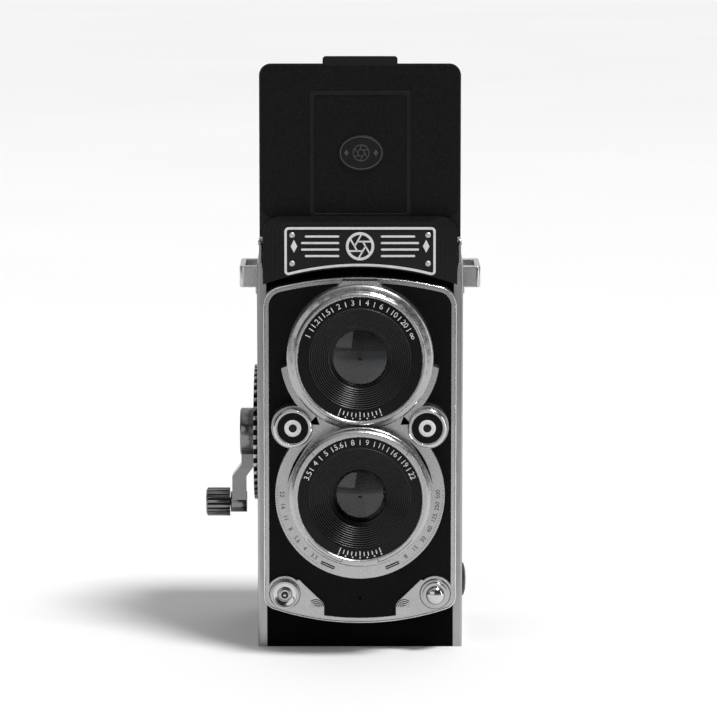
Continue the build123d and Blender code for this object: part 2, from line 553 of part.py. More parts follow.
def crank_arm():
    """Round hub and a bent arm that steps outwards to the knob, with the knob's collar and pin."""
    arm_y = 4.2
    hub = turned_x([(-45.3, 0), (-45.3, 8.6), (-44.8, 9.1), (-40.15, 9.1), (-40.15, 0)], 0, CRANK_Z)
    knob_z = CRANK_Z - CRANK_DROP
    side = [
        (-44.9, CRANK_Z - 6),
        (-44.9, 63.4),
        (-48.4, 58.8),
        (-48.4, knob_z),
        (-43.1, knob_z),
        (-43.1, 58.8),
        (-40.3, 62.6),
        (-40.3, CRANK_Z - 6),
    ]
    arm = plate_y(face_of(side), -arm_y, arm_y)
    taper = face_of([(-7, 76), (7, 76), (4.2, 62), (3.7, knob_z), (-3.7, knob_z), (-4.2, 62)])
    arm &= plate_x(taper, -50, -40)
    collar = rod_x(3.95, -49.0, -42.9, 0, knob_z)
    pin = rod_x(1.5, -57.5, -48.9, 0, knob_z)
    return hub + arm + collar + pin - rod_x(2.5, -41.0, -40.0, 0, CRANK_Z)


def crank_knob():
    """Fluted knob that turns on its pin."""
    knob_z = CRANK_Z - CRANK_DROP
    flutes = PolarLocations(5.55, 18)
    face = Circle(5.4) - [loc * Circle(0.5) for loc in flutes]
    knob = plate_x(Pos(0, knob_z) * face, -57.9, -49.3)
    knob += turned_x([(-58.3, 0), (-58.3, 4.6), (-57.8, 5.0), (-57.8, 0)], 0, knob_z)
    return knob - rod_x(1.5 + RUN, -57.6, -49, 0, knob_z)


def spool_knob():
    """Low domed knob at the lower right; pulling it 6 mm frees the supply spool."""
    outline = [(38.2, 0), (38.2, 7.0), (38.9, 6.9), (39.8, 6.0), (40.4, 4.0), (40.6, 1.5), (40.6, 0)]
    return turned_x(outline, SPOOL_Y, SUPPLY_Z) + rod_x(SPOOL_PIN_R, 29.5, 38.4, SPOOL_Y, SUPPLY_Z)


# ---- lens board ----------------------------------------------------------------------------------
def lens_board():
    """Front standard: a shallow shell with a raised rim round its leather panel."""
    board = plate_y(board_face(), BOARD_BACK, BOARD_FRONT)
    board -= plate_y(board_face(TRIM), BOARD_BACK + 1, BOARD_FRONT + 2.6)
    board -= plate_y(board_face(TRIM), BOARD_FRONT + 0.6, BOARD_FRONT - 1)
    board -= plate_y(board_face(0.5) - board_face(0.8), BOARD_FRONT + 0.35, BOARD_FRONT - 1)
    board -= rod_y(VIEWING_BORE + 0.3, BOARD_FRONT - 1, BOARD_BACK + 1, 0, VIEWING_Z)
    board -= rod_y(SLEEVE_R + 0.6, BOARD_FRONT - 1, BOARD_BACK + 1, 0, TAKING_Z)
    board -= block(-5.9, 5.9, BOARD_FRONT - 1, BOARD_FRONT + 0.6, 134, 142)
    board -= rod_y(0.6, BOARD_FRONT - 1, BOARD_BACK + 1, 0, PINHOLE_Z)
    board -= block(-36, 36, -37.7, BOARD_BACK + 1, GUIDE_LOW - 0.1, GUIDE_TOP + 0.1)
    return board - rod_y(3.6, BOARD_FRONT - 1, BOARD_BACK + 1, SOCKET_X, SOCKET_Z)


def board_leather():
    leather = plate_y(board_face(TRIM + 0.05), BOARD_FRONT + 0.6, BOARD_FRONT + 0.1)
    leather -= rod_y(VIEWING_FLANGE_R, BOARD_FRONT - 1, BOARD_BACK + 1, 0, VIEWING_Z)
    leather -= rod_y(COVER_R - 1.1, BOARD_FRONT - 1, BOARD_BACK + 1, 0, TAKING_Z)
    leather -= rod_y(0.75, BOARD_FRONT - 1, BOARD_BACK + 1, 0, PINHOLE_Z)
    leather -= block(-6.5, 6.5, BOARD_FRONT - 1, BOARD_FRONT + 1, 134, 142)
    return leather - rod_y(4.4, BOARD_FRONT - 1, BOARD_BACK + 1, SOCKET_X, SOCKET_Z)


def board_skirt():
    """Sleeve that keeps light out behind the board, with the two guide arms; the left arm is a rack."""
    skirt = block(-30.3, 30.3, BOARD_FRONT + 2.6, -29.5, SKIRT_LOW, SKIRT_HIGH)
    skirt += block(-33.4, 33.4, -37.6, BOARD_BACK, 40, 120)
    skirt -= block(-29.1, 29.1, BOARD_FRONT, -29, SKIRT_LOW + 1.2, SKIRT_HIGH - 1.2)
    for side in (-1, 1):
        skirt += block(side * 33.0, side * GUIDE_X1, -37.6, BOARD_BACK, GUIDE_LOW, GUIDE_TOP)
        skirt += block(side * GUIDE_X0, side * GUIDE_X1, -37.0, GUIDE_END, GUIDE_LOW, GUIDE_TOP)
    module = 2 * PINION_R / PINION_TEETH
    pitch = pi * module
    pitch_line = CRANK_Z - PINION_R
    for i in range(-3, 6):
        y = i * pitch
        low, high = pitch_line - 1.1 * module, pitch_line + 0.7 * module
        tooth = [(y - 0.29 * pitch, low - 0.5), (y - 0.14 * pitch, high), (y + 0.14 * pitch, high)]
        tooth.append((y + 0.29 * pitch, low - 0.5))
        skirt += plate_x(face_of(tooth), -GUIDE_X1, -GUIDE_X0)
    return skirt - rod_y(4.0, BOARD_FRONT, -37.5, SOCKET_X, SOCKET_Z)


def shutter_outline():
    """Outline of the chrome shutter cover in (x, z): lower disc, wheel collars, web and upper ears."""
    face = disc(COVER_R, 0, TAKING_Z - COVER_DROP)
    face += face_of([(-21.5, 79.6), (21.5, 79.6), (21.5, 89.6), (17, 95.6), (-17, 95.6), (-21.5, 89.6)])
    ears = face_of([(0, 118.8), (-42, 101.8), (-42, 76), (42, 76), (42, 101.8)])
    face += disc(COVER_EAR_R, 0, VIEWING_Z) & ears
    for side in (-1, 1):
        face += disc(COLLAR_R, side * WHEEL_X, WHEEL_Z)
    return face


def shutter_cover():
    """Chrome cover of the shutter, hollow for the setting rings, with windows beside the wheels."""
    cover = plate_y(shutter_outline(), BOARD_FRONT, SHUTTER_FRONT)
    cover -= rod_y(COVER_INSIDE, BOARD_FRONT + 1, SHUTTER_FRONT + 1.5, 0, TAKING_Z)
    cover -= rod_y(SLEEVE_R + 0.1, BOARD_FRONT + 1, SHUTTER_FRONT - 1, 0, TAKING_Z)
    cover -= rod_y(VIEWING_FLANGE_R + 0.05, BOARD_FRONT + 1, SHUTTER_FRONT - 1, 0, VIEWING_Z)
    for side in (-1, 1):
        cover -= rod_y(WHEEL_R + 0.1, BOARD_FRONT + 1, SHUTTER_FRONT + 1.0, side * WHEEL_X, WHEEL_Z)
        cover -= rod_y(2.0 + RUN, BOARD_FRONT + 1, SHUTTER_FRONT - 1, side * WHEEL_X, WHEEL_Z)
        window = face_of([(side * 16.0, 89.5), (side * 18.9, 86.4), (side * 14.8, 86.2)])
        cover -= plate_y(window, BOARD_FRONT + 1, SHUTTER_FRONT - 1)
        slot = Pos(side * 11.9, TAKING_Z - 26.5) * Rot(0, 0, side * 24) * SlotOverall(5.6, 0.9)
        cover -= plate_y(slot, SHUTTER_FRONT + 0.7, SHUTTER_FRONT - 1)
    return cover


def viewing_lens_ring():
    """Bayonet ring of the viewing lens: wide flange, narrower nose, cut clear of the taking lens."""
    flange, nose, bore, front = VIEWING_FLANGE_R, VIEWING_NOSE_R, VIEWING_BORE, VIEWING_FRONT
    profile = [(bore, BOARD_FRONT), (flange, BOARD_FRONT), (flange, front + 4.6)]
    profile += [(flange - 0.6, front + 4.0), (nose, front + 3.6), (nose, front + 0.7)]
    profile += [(nose - 0.7, front), (bore + 0.5, front), (bore, front + 0.5)]
    ring = turned_y(profile, 0, VIEWING_Z)
    ring -= rod_y(TAKING_RING_R + GAP, SHUTTER_FRONT, TAKING_FRONT - 1, 0, TAKING_Z)
    return ring - rod_y(COVER_INSIDE - 0.1, BOARD_FRONT + 1, SHUTTER_FRONT + 1.5, 0, TAKING_Z)


def ribbed_cone(outer, face_y, band, first, last, steps, drop, back_y):
    """Profile in (radius, y): a flat lettering band, then steps that lead down to the glass."""
    points = [(outer, face_y), (band, face_y)]
    for i in range(steps):
        r = band - (band - first) * (i + 1) / steps
        y = face_y + drop * (i + 1) / steps
        points += [(r + 0.3 * (band - first) / steps, y - 0.28), (r, y)]
    points += [(last, face_y + drop + 0.5), (last, back_y), (last + 1.2, back_y)]
    return points + [(outer, face_y + 1.6)]


def viewing_baffle():
    y = VIEWING_FRONT
    points = ribbed_cone(VIEWING_BORE - 0.05, y + 0.9, BAND_R, 11.4, 10.2, 10, 3.2, y + 7.0)
    return turned_y(points, 0, VIEWING_Z)


def viewing_elements():
    """Front and rear glasses of the viewing lens."""
    y = VIEWING_FRONT
    front = lens(10.1, y + 3.9, y + 5.2, y + 7.4, y + 7.9)
    rear = lens(9.8, y + 17.5, y + 18.2, y + 19.5, y + 20.0)
    return Pos(0, 0, VIEWING_Z) * front, Pos(0, 0, VIEWING_Z) * rear


def lens(r, pole_front, rim_front, rim_back, pole_back):
    """A round glass turned about Y: domed faces through the given poles and rims."""

    def dome(pole, rim):
        rise = rim - pole
        sphere = (r * r + rise * rise) / (2 * abs(rise))
        drop = sphere - sqrt(sphere * sphere - r * r / 4)
        return (r / 2, pole + drop * (1 if rise > 0 else -1))

    outline = [
        *ThreePointArc((0.0, pole_front), dome(pole_front, rim_front), (r, rim_front)).edges(),
        *Line((r, rim_front), (r, rim_back)).edges(),
        *ThreePointArc((r, rim_back), dome(pole_back, rim_back), (0.0, pole_back)).edges(),
        *Line((0.0, pole_back), (0.0, pole_front)).edges(),
    ]
    return revolve(make_face(outline), Axis.Y)


def taking_lens_ring():
    """Bayonet ring of the taking lens; its rear sleeve carries the two setting rings."""
    ring, bore, front, inner = TAKING_RING_R, TAKING_BORE, TAKING_FRONT, SLEEVE_R - 1.9
    profile = [(inner, BOARD_FRONT), (SLEEVE_R, BOARD_FRONT), (SLEEVE_R, SHUTTER_FRONT)]
    profile += [(ring, SHUTTER_FRONT), (ring, front + 4.0), (ring - 0.5, front + 3.6)]
    profile += [(ring - 0.5, front + 1.0), (ring - 1.4, front), (bore + 0.5, front)]
    profile += [(bore, front + 0.5), (bore, front + 12.0), (inner, front + 12.0)]
    return turned_y(profile, 0, TAKING_Z)


def taking_baffle():
    """Ribbed front cone of the taking lens, deeper than the viewing one."""
    y = TAKING_FRONT
    points = ribbed_cone(TAKING_BORE - 0.05, y + 1.0, BAND_R, 11.5, 9.9, 10, 4.6, y + 10.4)
    return turned_y(points, 0, TAKING_Z)


def taking_elements():
    y = TAKING_FRONT
    front = lens(9.8, y + 6.2, y + 8.2, y + 9.8, y + 10.3)
    rear = lens(9.6, y + 24.0, y + 25.0, y + 26.6, y + 28.2)
    return Pos(0, 0, TAKING_Z) * front, Pos(0, 0, TAKING_Z) * rear


def lens_barrels():
    """Black tubes that hold the glasses, each with a flange inside its bayonet ring."""

    def barrel(front_y, bore, flange_r, flange_y, back_y, z):
        tube = rod_y(bore + 2.4, front_y, back_y, 0, z) + rod_y(flange_r, flange_y, flange_y + 1.5, 0, z)
        return tube - rod_y(bore, front_y - 1, back_y + 1, 0, z)

    y = VIEWING_FRONT
    viewing = barrel(y + 7.0, 9.8, 20.5, y + 9, y + 22, VIEWING_Z)
    viewing -= rod_y(10.1, y, y + 8.0, 0, VIEWING_Z)
    y = TAKING_FRONT
    taking = barrel(y + 10.5, 9.6, TAKING_BORE - 0.05, y + 10.5, y + 31, TAKING_Z)
    return viewing, taking


def leaves(count, r, y0, y1, hole_r):
    """A ring of thin blades round the lens axis, with hairline gaps between them."""
    solids = []
    for i in range(count):
        a, b = 360.0 / count * i, 360.0 / count * (i + 1) - 0.8
        points = [(hole_r * cos(radians(a)), hole_r * sin(radians(a)))]
        steps = 5
        for k in range(steps + 1):
            t = radians(a + (b - a) * k / steps)
            points.append((r * cos(t), r * sin(t)))
        points.append((hole_r * cos(radians(b)), hole_r * sin(radians(b))))
        solids.append(Pos(0, 0, TAKING_Z) * plate_y(face_of(points), y0, y1))
    return solids


def readout_cap():
    """Small cover on top of the viewing lens, where the set values are read from above."""
    top = BOARD_HIGH - 0.3
    outline = face_of([(-9.5, 134), (9.5, 134), (9.5, top - 4), (6.4, top), (-6.4, top), (-9.5, top - 4)])
    cap = plate_y(outline, BOARD_FRONT, SHUTTER_FRONT - 0.6)
    return cap - rod_y(VIEWING_FLANGE_R + 0.05, BOARD_FRONT + 1, TAKING_FRONT, 0, VIEWING_Z)


def corner_plates():
    """Bright gussets on the board's lower corners, one under the flash socket and one under the release."""
    tip_x, tip_z, tip_r = 16.4, 16.8, 3.1
    outline = disc(6.6, SOCKET_X, SOCKET_Z) + disc(tip_r, tip_x, tip_z)
    edge = tip_x - tip_r
    outline += face_of([(22.6, 27.1), (14.7, 19.4), (edge, tip_z), (edge, 8), (37, 8), (37, SOCKET_Z)])
    outline = outline & board_face(TRIM + 0.05)
    plate = plate_y(outline, BOARD_FRONT + 0.1, COLLAR_BACK)
    upper_half = block(tip_x - 3, tip_x + 2.2, -60, 0, tip_z, tip_z + 3)
    for r in (0.7, 1.4, 2.1, 2.8):
        rib = disc(r + 0.17, tip_x, tip_z) - disc(r - 0.17, tip_x, tip_z)
        plate -= plate_y(rib, COLLAR_BACK + 0.35, COLLAR_BACK - 1) & upper_half
    return mirrored(plate), plate - rod_y(3.6, BOARD_FRONT - 3, BOARD_FRONT + 1, SOCKET_X, SOCKET_Z)


def sync_socket():
    """Flash socket: an outer collar round a bright contact pin."""
    collar = rod_y(5.1, COLLAR_BACK, COLLAR_BACK - 3.2, -SOCKET_X, SOCKET_Z)
    collar -= rod_y(4.4, COLLAR_BACK - 0.6, COLLAR_BACK - 4, -SOCKET_X, SOCKET_Z)
    collar += rod_y(1.9, COLLAR_BACK - 0.5, COLLAR_BACK - 2.4, -SOCKET_X, SOCKET_Z)
    return collar - rod_y(0.8, COLLAR_BACK - 1.4, COLLAR_BACK - 3, -SOCKET_X, SOCKET_Z)


def release_collar():
    """Collar round the release button, stepped outside and bored for the button."""
    collar = rod_y(5.4, COLLAR_BACK, COLLAR_BACK - 1.2, SOCKET_X, SOCKET_Z)
    collar += rod_y(4.6, COLLAR_BACK - 1.1, COLLAR_BACK - 2.8, SOCKET_X, SOCKET_Z)
    return collar - rod_y(3.3 + RUN, COLLAR_BACK + 1, COLLAR_BACK - 4, SOCKET_X, SOCKET_Z)


def release_button():
    """Domed shutter release on a stem that reaches into the board."""
    y = COLLAR_BACK
    points = [(0, y - 4.9), (1.8, y - 4.6), (2.9, y - 3.8), (3.3, y - 2.9), (3.3, y + 1.0), (1.6, y + 1.0)]
    points += [(1.6, y + 4.4), (0, y + 4.4)]
    return turned_y(points, SOCKET_X, SOCKET_Z)


def release_spring():
    """Return spring round the release stem, as four closed rings."""
    y = COLLAR_BACK
    return [Pos(SOCKET_X, y + 1.5 + 0.8 * i, SOCKET_Z) * Rot(90, 0, 0) * Torus(2.3, 0.3) for i in range(4)]


def setting_wheel(x, ring_y0, ring_y1):
    """Setting wheel: a rim in its collar and, inside the cover, the pinion that turns its ring."""
    r, back, face = WHEEL_R, SHUTTER_FRONT - GAP, SHUTTER_FRONT - 2.4
    profile = [(0, back), (r - 0.3, back), (r, back - 0.3), (r, face - 0.2), (r - 0.5, face - 0.6)]
    profile += [(r - 1.1, face - 0.6), (r - 1.2, face), (0, face)]
    wheel = turned_y(profile, x, WHEEL_Z)
    line = degrees(atan2(TAKING_Z - WHEEL_Z, -x))
    pinion = Pos(x, WHEEL_Z) * gear_face(WHEEL_TEETH, WHEEL_PINION_R, line)
    wheel += plate_y(pinion, ring_y0, ring_y1)
    return wheel + rod_y(2.0, SHUTTER_FRONT - 0.4, ring_y1, x, WHEEL_Z)


def setting_ring(x, ring_y0, ring_y1):
    """Ring round the taking lens with a toothed sector that meshes with one wheel's pinion."""
    line = degrees(atan2(WHEEL_Z - TAKING_Z, x))
    first = gear_phase(WHEEL_TEETH, line + 180, RING_TEETH, line)
    face = gear_face(RING_TEETH, RING_R, first, 13, RING_R - 0.8)
    return plate_y(Pos(0, TAKING_Z) * (face - disc(SLEEVE_R + RUN)), ring_y0, ring_y1)


def main():
    os.makedirs("parts", exist_ok=True)
    save("body_casting", body_casting())
    save("side_plate_left", side_plate(True))
    save("side_plate_right", side_plate(False))
    save("side_leathers", *side_leathers())
    save("base_plate", base_plate())
    save("tripod_socket", tripod_socket())
    save("film_gate", film_gate())
    save("guide_roller_lower", guide_roller(ROLLER_LOW_Z))
    save("guide_roller_upper", guide_roller(ROLLER_HIGH_Z))
    save("mirror_frame", mirror_frame())
    save("reflex_mirror", reflex_mirror())
    save("focusing_screen", focusing_screen())
    save("strap_lugs", *strap_lugs())
    save("trim_screws", *trim_screws())
    save("nameplate_housing", nameplate_housing())
    save("nameplate", nameplate())

    save("hood_base_frame", hood_base_frame())
    save("hood_side_rails", *hood_side_rails())
    save("hinge_pins", *hinge_pins())
    save("hood_lid", hood_lid())
    save("sports_flap", sports_flap())
    save("magnifier_frame", magnifier_frame())
    save("magnifier_lens", magnifier_lens())
    save("hood_wing_right", hood_wing())
    save("hood_wing_left", mirrored(hood_wing()))
    save("hood_rear_panel", rear_panel())

    save("back_door", back_door())
    save("pressure_plate", pressure_plate())
    save("pressure_spring", pressure_spring())
    save("back_latch", back_latch())

    save("supply_spool", spool(SUPPLY_Z))
    save("take_up_spool", spool(TAKE_UP_Z))
    save("take_up_gear", take_up_gear())
    save("crank_shaft", crank_shaft())
    save("focus_dial", focus_dial())
    save("crank_arm", crank_arm())
    save("crank_knob", crank_knob())
    save("spool_knob", spool_knob())

    save("lens_board", lens_board())
    save("board_leather", board_leather())
    save("board_skirt", board_skirt())
    save("shutter_cover", shutter_cover())
    save("viewing_lens_ring", viewing_lens_ring())
    save("viewing_baffle", viewing_baffle())
    save("viewing_elements", *viewing_elements())
    save("taking_lens_ring", taking_lens_ring())
    save("taking_baffle", taking_baffle())
    save("taking_elements", *taking_elements())
    save("lens_barrels", *lens_barrels())
    save("shutter_and_iris_blades", *leaves(5, 9.5, -46.4, -46.0, 0.4), *leaves(8, 9.5, -44.8, -44.5, 4.5))
    save("readout_cap", readout_cap())
    save("corner_plates", *corner_plates())
    save("sync_socket", sync_socket())
    save("release_collar", release_collar())
    save("release_button", release_button())
    save("release_spring", *release_spring())
    save("aperture_wheel", setting_wheel(-WHEEL_X, *APERTURE_Y))
    save("speed_wheel", setting_wheel(WHEEL_X, *SPEED_Y))
    save("aperture_ring", setting_ring(-WHEEL_X, *APERTURE_Y))
    save("speed_ring", setting_ring(WHEEL_X, *SPEED_Y))


main()
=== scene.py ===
"""Looks of the twin lens reflex camera: materials for the CAD nodes and the fine pieces they leave out.

Lengths are in millimetres and turned into metres by MM, except in the last section. The lenses look along -Y.
"""

import math

import bmesh
import bpy
from mathutils import Matrix, Vector


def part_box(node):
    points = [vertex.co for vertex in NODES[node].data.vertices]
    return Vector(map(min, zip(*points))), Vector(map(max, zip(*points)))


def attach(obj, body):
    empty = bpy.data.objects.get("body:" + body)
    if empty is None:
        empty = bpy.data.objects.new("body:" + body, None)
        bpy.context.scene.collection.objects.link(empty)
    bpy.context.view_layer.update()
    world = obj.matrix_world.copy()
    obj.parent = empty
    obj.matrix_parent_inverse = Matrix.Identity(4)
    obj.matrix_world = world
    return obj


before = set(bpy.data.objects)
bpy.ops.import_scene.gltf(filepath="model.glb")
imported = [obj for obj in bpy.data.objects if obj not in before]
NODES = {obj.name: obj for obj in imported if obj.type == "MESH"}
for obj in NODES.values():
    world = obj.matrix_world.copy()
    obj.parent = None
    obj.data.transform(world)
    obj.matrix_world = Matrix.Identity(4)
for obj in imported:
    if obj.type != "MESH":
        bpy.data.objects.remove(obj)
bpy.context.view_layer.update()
MM = 0.001
TAU = 2 * math.pi


def edges_of(node):
    """Lowest and highest corner of a CAD node, in millimetres."""
    low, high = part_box(node)
    return low / MM, high / MM


# ---- places taken from the frame -----------------------------------------------------------------
BOARD_FRONT = edges_of("lens_board")[0].y
LEATHER_FRONT = edges_of("board_leather")[0].y
COVER_FRONT = edges_of("shutter_cover")[0].y
GUSSET_FRONT = edges_of("corner_plates")[0].y
TAKING_LOW, TAKING_HIGH = edges_of("taking_lens_ring")
VIEWING_LOW, VIEWING_HIGH = edges_of("viewing_lens_ring")
TAKING_Z = (TAKING_LOW.z + TAKING_HIGH.z) / 2
VIEWING_Z = VIEWING_HIGH.z - VIEWING_HIGH.x
LID_LOW, LID_HIGH = edges_of("hood_lid")
FLAP_LOW, FLAP_HIGH = edges_of("sports_flap")
PLATE_LOW, PLATE_HIGH = edges_of("nameplate")
WHEEL_LOW, WHEEL_HIGH = edges_of("speed_wheel")
WHEEL_X, WHEEL_Z = (WHEEL_LOW.x + WHEEL_HIGH.x) / 2, (WHEEL_LOW.z + WHEEL_HIGH.z) / 2
BUTTON_LOW, BUTTON_HIGH = edges_of("release_button")
SOCKET_X, SOCKET_Z = (BUTTON_LOW.x + BUTTON_HIGH.x) / 2, (BUTTON_LOW.z + BUTTON_HIGH.z) / 2
DOOR_BACK = edges_of("back_door")[1].y
SCREEN_TOP = edges_of("focusing_screen")[1].z
DIAL_LOW, DIAL_HIGH = edges_of("focus_dial")
CRANK_Z = (DIAL_LOW.z + DIAL_HIGH.z) / 2
VIEWING_FACE = VIEWING_LOW.y + 0.9  # the flat band with figures, set back in each ring
TAKING_FACE = TAKING_LOW.y + 1.0

# ---- places inside a CAD node --------------------------------------------------------------------
BOARD_HALF, BOARD_FOOT, BOARD_TOP = 35.5, 10.6, 139.6
BOARD_FOOT_BOW, BOARD_TOP_BOW = 100.0, 130.0  # radii of the lens board's bowed bottom and top
BOARD_FOOT_R, BOARD_TOP_R = 5.0, 7.5  # radii of its corners
BAND_R = 18.95  # inner edge of the flat band round the ribs
RIBS = 10
CREST_FROM_STEP = 0.3  # where a rib's crest stands, as a share of its step
HOLE_Z, HOLE_R = 20.0, 0.73  # the small hole low in the board
TIP_X, TIP_Z = 16.4, 16.8  # centre of a gusset's rounded tip
TIP_RADII = (0.7, 1.4, 2.1, 2.8)  # the lines round that tip
COLLAR_R = 5.75  # the round seat of each corner fitting
SLOT_X, SLOT_DROP, SLOT_TURN = 11.9, 26.5, 24  # the cover's slots: off the axis, below it, and in degrees
LID_FOOT, LID_TOP = 161.0, 217.3  # the lid's leatherette starts here, and its top edge is below its tab
PLATE_ARCH, PLATE_ARCH_R = 143.6, 105.4  # lowest point and radius of the nameplate's arched bottom
HUB_FACE = -45.3  # outer face of the crank's hub
KNOB_FLUTES, DIAL_GROOVES = 18, 44


# ---- materials -----------------------------------------------------------------------------------
def blank(name):
    """A new material, its node tree and its Principled shader."""
    mat = bpy.data.materials.new(name)
    mat.use_nodes = True
    tree = mat.node_tree
    return mat, tree, tree.nodes["Principled BSDF"]


def node(tree, kind, **values):
    """A new node; each value goes to the input of that name, or else to the node's own setting."""
    made = tree.nodes.new(kind)
    for key, value in values.items():
        if key in made.inputs:
            made.inputs[key].default_value = value
        else:
            setattr(made, key, value)
    return made


def place(tree):
    """Where a point lies on its object."""
    return tree.nodes.new("ShaderNodeTexCoord").outputs["Object"]


def noise(tree, scale, detail=3.0, rough=0.55, stretch=None):
    """Noise over the object; scale is in features per metre, and stretch squeezes it along the axes."""
    source = place(tree)
    if stretch:
        mapping = node(tree, "ShaderNodeMapping")
        mapping.inputs["Scale"].default_value = stretch
        tree.links.new(source, mapping.inputs["Vector"])
        source = mapping.outputs["Vector"]
    made = node(tree, "ShaderNodeTexNoise", Scale=scale, Detail=detail, Roughness=rough)
    tree.links.new(source, made.inputs["Vector"])
    return made.outputs["Fac"]


def spread(tree, fac, low, high):
    """Maps the middle of a noise value's 0 to 1 to a range."""
    made = node(tree, "ShaderNodeMapRange")
    made.inputs["From Min"].default_value = 0.3
    made.inputs["From Max"].default_value = 0.7
    made.inputs["To Min"].default_value = low
    made.inputs["To Max"].default_value = high
    tree.links.new(fac, made.inputs["Value"])
    return made.outputs["Result"]


def two_tones(tree, fac, dark, light):
    """A colour between dark and light, from a noise value."""
    ramp = node(tree, "ShaderNodeValToRGB")
    ramp.color_ramp.elements[0].position = 0.32
    ramp.color_ramp.elements[1].position = 0.68
    ramp.color_ramp.elements[0].color = (*dark, 1)
    ramp.color_ramp.elements[1].color = (*light, 1)
    tree.links.new(fac, ramp.inputs["Fac"])
    return ramp.outputs["Color"]


def relief(tree, shader, height, strength, depth_mm):
    """Bump on a shader, too shallow to be modelled."""
    bump = node(tree, "ShaderNodeBump", Strength=strength, Distance=depth_mm * MM)
    tree.links.new(height, bump.inputs["Height"])
    tree.links.new(bump.outputs["Normal"], shader.inputs["Normal"])


def grey(v):
    """A neutral colour with the slightest touch of blue."""
    return (v, v, v * 1.01)


def metal(name, tone, rough, rough_spread=0.05, stretch=None, scale=1500, depth=0.004, bump=0.07):
    """Bare or plated metal with fine tool marks and slightly uneven polish."""
    mat, tree, shader = blank(name)
    shader.inputs["Metallic"].default_value = 1.0
    cloud = noise(tree, 60, 4)
    tree.links.new(two_tones(tree, cloud, grey(tone * 0.93), grey(tone * 1.05)), shader.inputs["Base Color"])
    marks = noise(tree, scale, 2, 0.6, stretch)
    uneven = spread(tree, marks, rough - rough_spread, rough + rough_spread)
    tree.links.new(uneven, shader.inputs["Roughness"])
    relief(tree, shader, marks, bump, depth)
    return mat


def enamel(name, tone, rough, depth=0.012, scale=2600, shine=0.25):
    """Black paint with a faint orange-peel skin."""
    mat, tree, shader = blank(name)
    peel = noise(tree, scale, 3)
    cloud = noise(tree, 45, 4)
    tree.links.new(two_tones(tree, cloud, grey(tone * 0.8), grey(tone * 1.25)), shader.inputs["Base Color"])
    tree.links.new(spread(tree, peel, rough - 0.07, rough + 0.07), shader.inputs["Roughness"])
    shader.inputs["Specular IOR Level"].default_value = shine
    relief(tree, shader, peel, 0.5, depth)
    return mat


def leatherette(name, tone=0.008, grain=1250.0, depth=0.09, rough=0.52, shine=0.25):
    """Embossed black covering: rounded pebbles of two sizes with creases between them."""
    mat, tree, shader = blank(name)
    warp = node(tree, "ShaderNodeTexNoise", Scale=420.0, Detail=2.0)
    source = place(tree)
    tree.links.new(source, warp.inputs["Vector"])
    mix = node(tree, "ShaderNodeMix", data_type="VECTOR")
    mix.inputs["Factor"].default_value = 0.0022
    tree.links.new(source, mix.inputs["A"])
    tree.links.new(warp.outputs["Color"], mix.inputs["B"])
    moved = mix.outputs["Result"]
    cells = []
    for scale, smooth in ((grain, 0.35), (grain * 2.3, 0.2)):
        cell = node(tree, "ShaderNodeTexVoronoi", feature="SMOOTH_F1", Scale=scale, Smoothness=smooth)
        tree.links.new(moved, cell.inputs["Vector"])
        cells.append(cell.outputs["Distance"])
    total = node(tree, "ShaderNodeMath", operation="MULTIPLY_ADD")
    total.inputs[1].default_value = 0.35
    tree.links.new(cells[1], total.inputs[0])
    tree.links.new(cells[0], total.inputs[2])
    height = node(tree, "ShaderNodeMapRange")
    height.inputs["From Min"].default_value = 0.1
    height.inputs["From Max"].default_value = 0.9
    height.inputs["To Min"].default_value = 1.0
    height.inputs["To Max"].default_value = 0.0
    tree.links.new(total.outputs["Value"], height.inputs["Value"])
    # Painted shade: the creases are darker and the pebble tops lighter, following the same height as the
    # bump.
    shade = two_tones(tree, height.outputs["Result"], grey(tone * 0.45), grey(tone * 1.5))
    tree.links.new(shade, shader.inputs["Base Color"])
    tree.links.new(spread(tree, noise(tree, 900), rough - 0.06, rough + 0.1), shader.inputs["Roughness"])
    shader.inputs["Specular IOR Level"].default_value = shine
    relief(tree, shader, height.outputs["Result"], 0.75, depth)
    return mat


def turned(name, tone, rough, z):
    """Lathe-turned metal: fine rings about an axis along Y at height z, in millimetres."""
    ring_pitch, ring_depth = 0.5, 0.006
    mat, tree, shader = blank(name)
    shader.inputs["Metallic"].default_value = 1.0
    shift = node(tree, "ShaderNodeMapping")
    shift.inputs["Location"].default_value = (0, 0, -z * MM)
    shift.inputs["Scale"].default_value = (1, 0, 1)
    tree.links.new(place(tree), shift.inputs["Vector"])
    length = node(tree, "ShaderNodeVectorMath", operation="LENGTH")
    tree.links.new(shift.outputs["Vector"], length.inputs[0])
    angle = node(tree, "ShaderNodeMath", operation="MULTIPLY")
    angle.inputs[1].default_value = TAU / (ring_pitch * MM)
    tree.links.new(length.outputs["Value"], angle.inputs[0])
    wave = node(tree, "ShaderNodeMath", operation="SINE")
    tree.links.new(angle.outputs["Value"], wave.inputs[0])
    cloud = noise(tree, 70, 4)
    tree.links.new(two_tones(tree, cloud, grey(tone * 0.96), grey(tone * 1.04)), shader.inputs["Base Color"])
    tree.links.new(spread(tree, noise(tree, 900), rough - 0.05, rough + 0.06), shader.inputs["Roughness"])
    relief(tree, shader, wave.outputs["Value"], 0.12, ring_depth)
    return mat


def glass(name, tint=(0.9, 0.92, 0.95), rough=0.0, coating=0.0, smear=0.02):
    """Optical glass; the surface carries the faintest film so that it isn't perfectly even."""
    mat, tree, shader = blank(name)
    shader.inputs["Base Color"].default_value = (*tint, 1)
    shader.inputs["Transmission Weight"].default_value = 1.0
    shader.inputs["IOR"].default_value = 1.52
    shader.inputs["Coat Weight"].default_value = coating
    shader.inputs["Coat Roughness"].default_value = 0.02
    film = noise(tree, 240, 2)
    tree.links.new(spread(tree, film, rough, rough + smear), shader.inputs["Roughness"])
    return mat


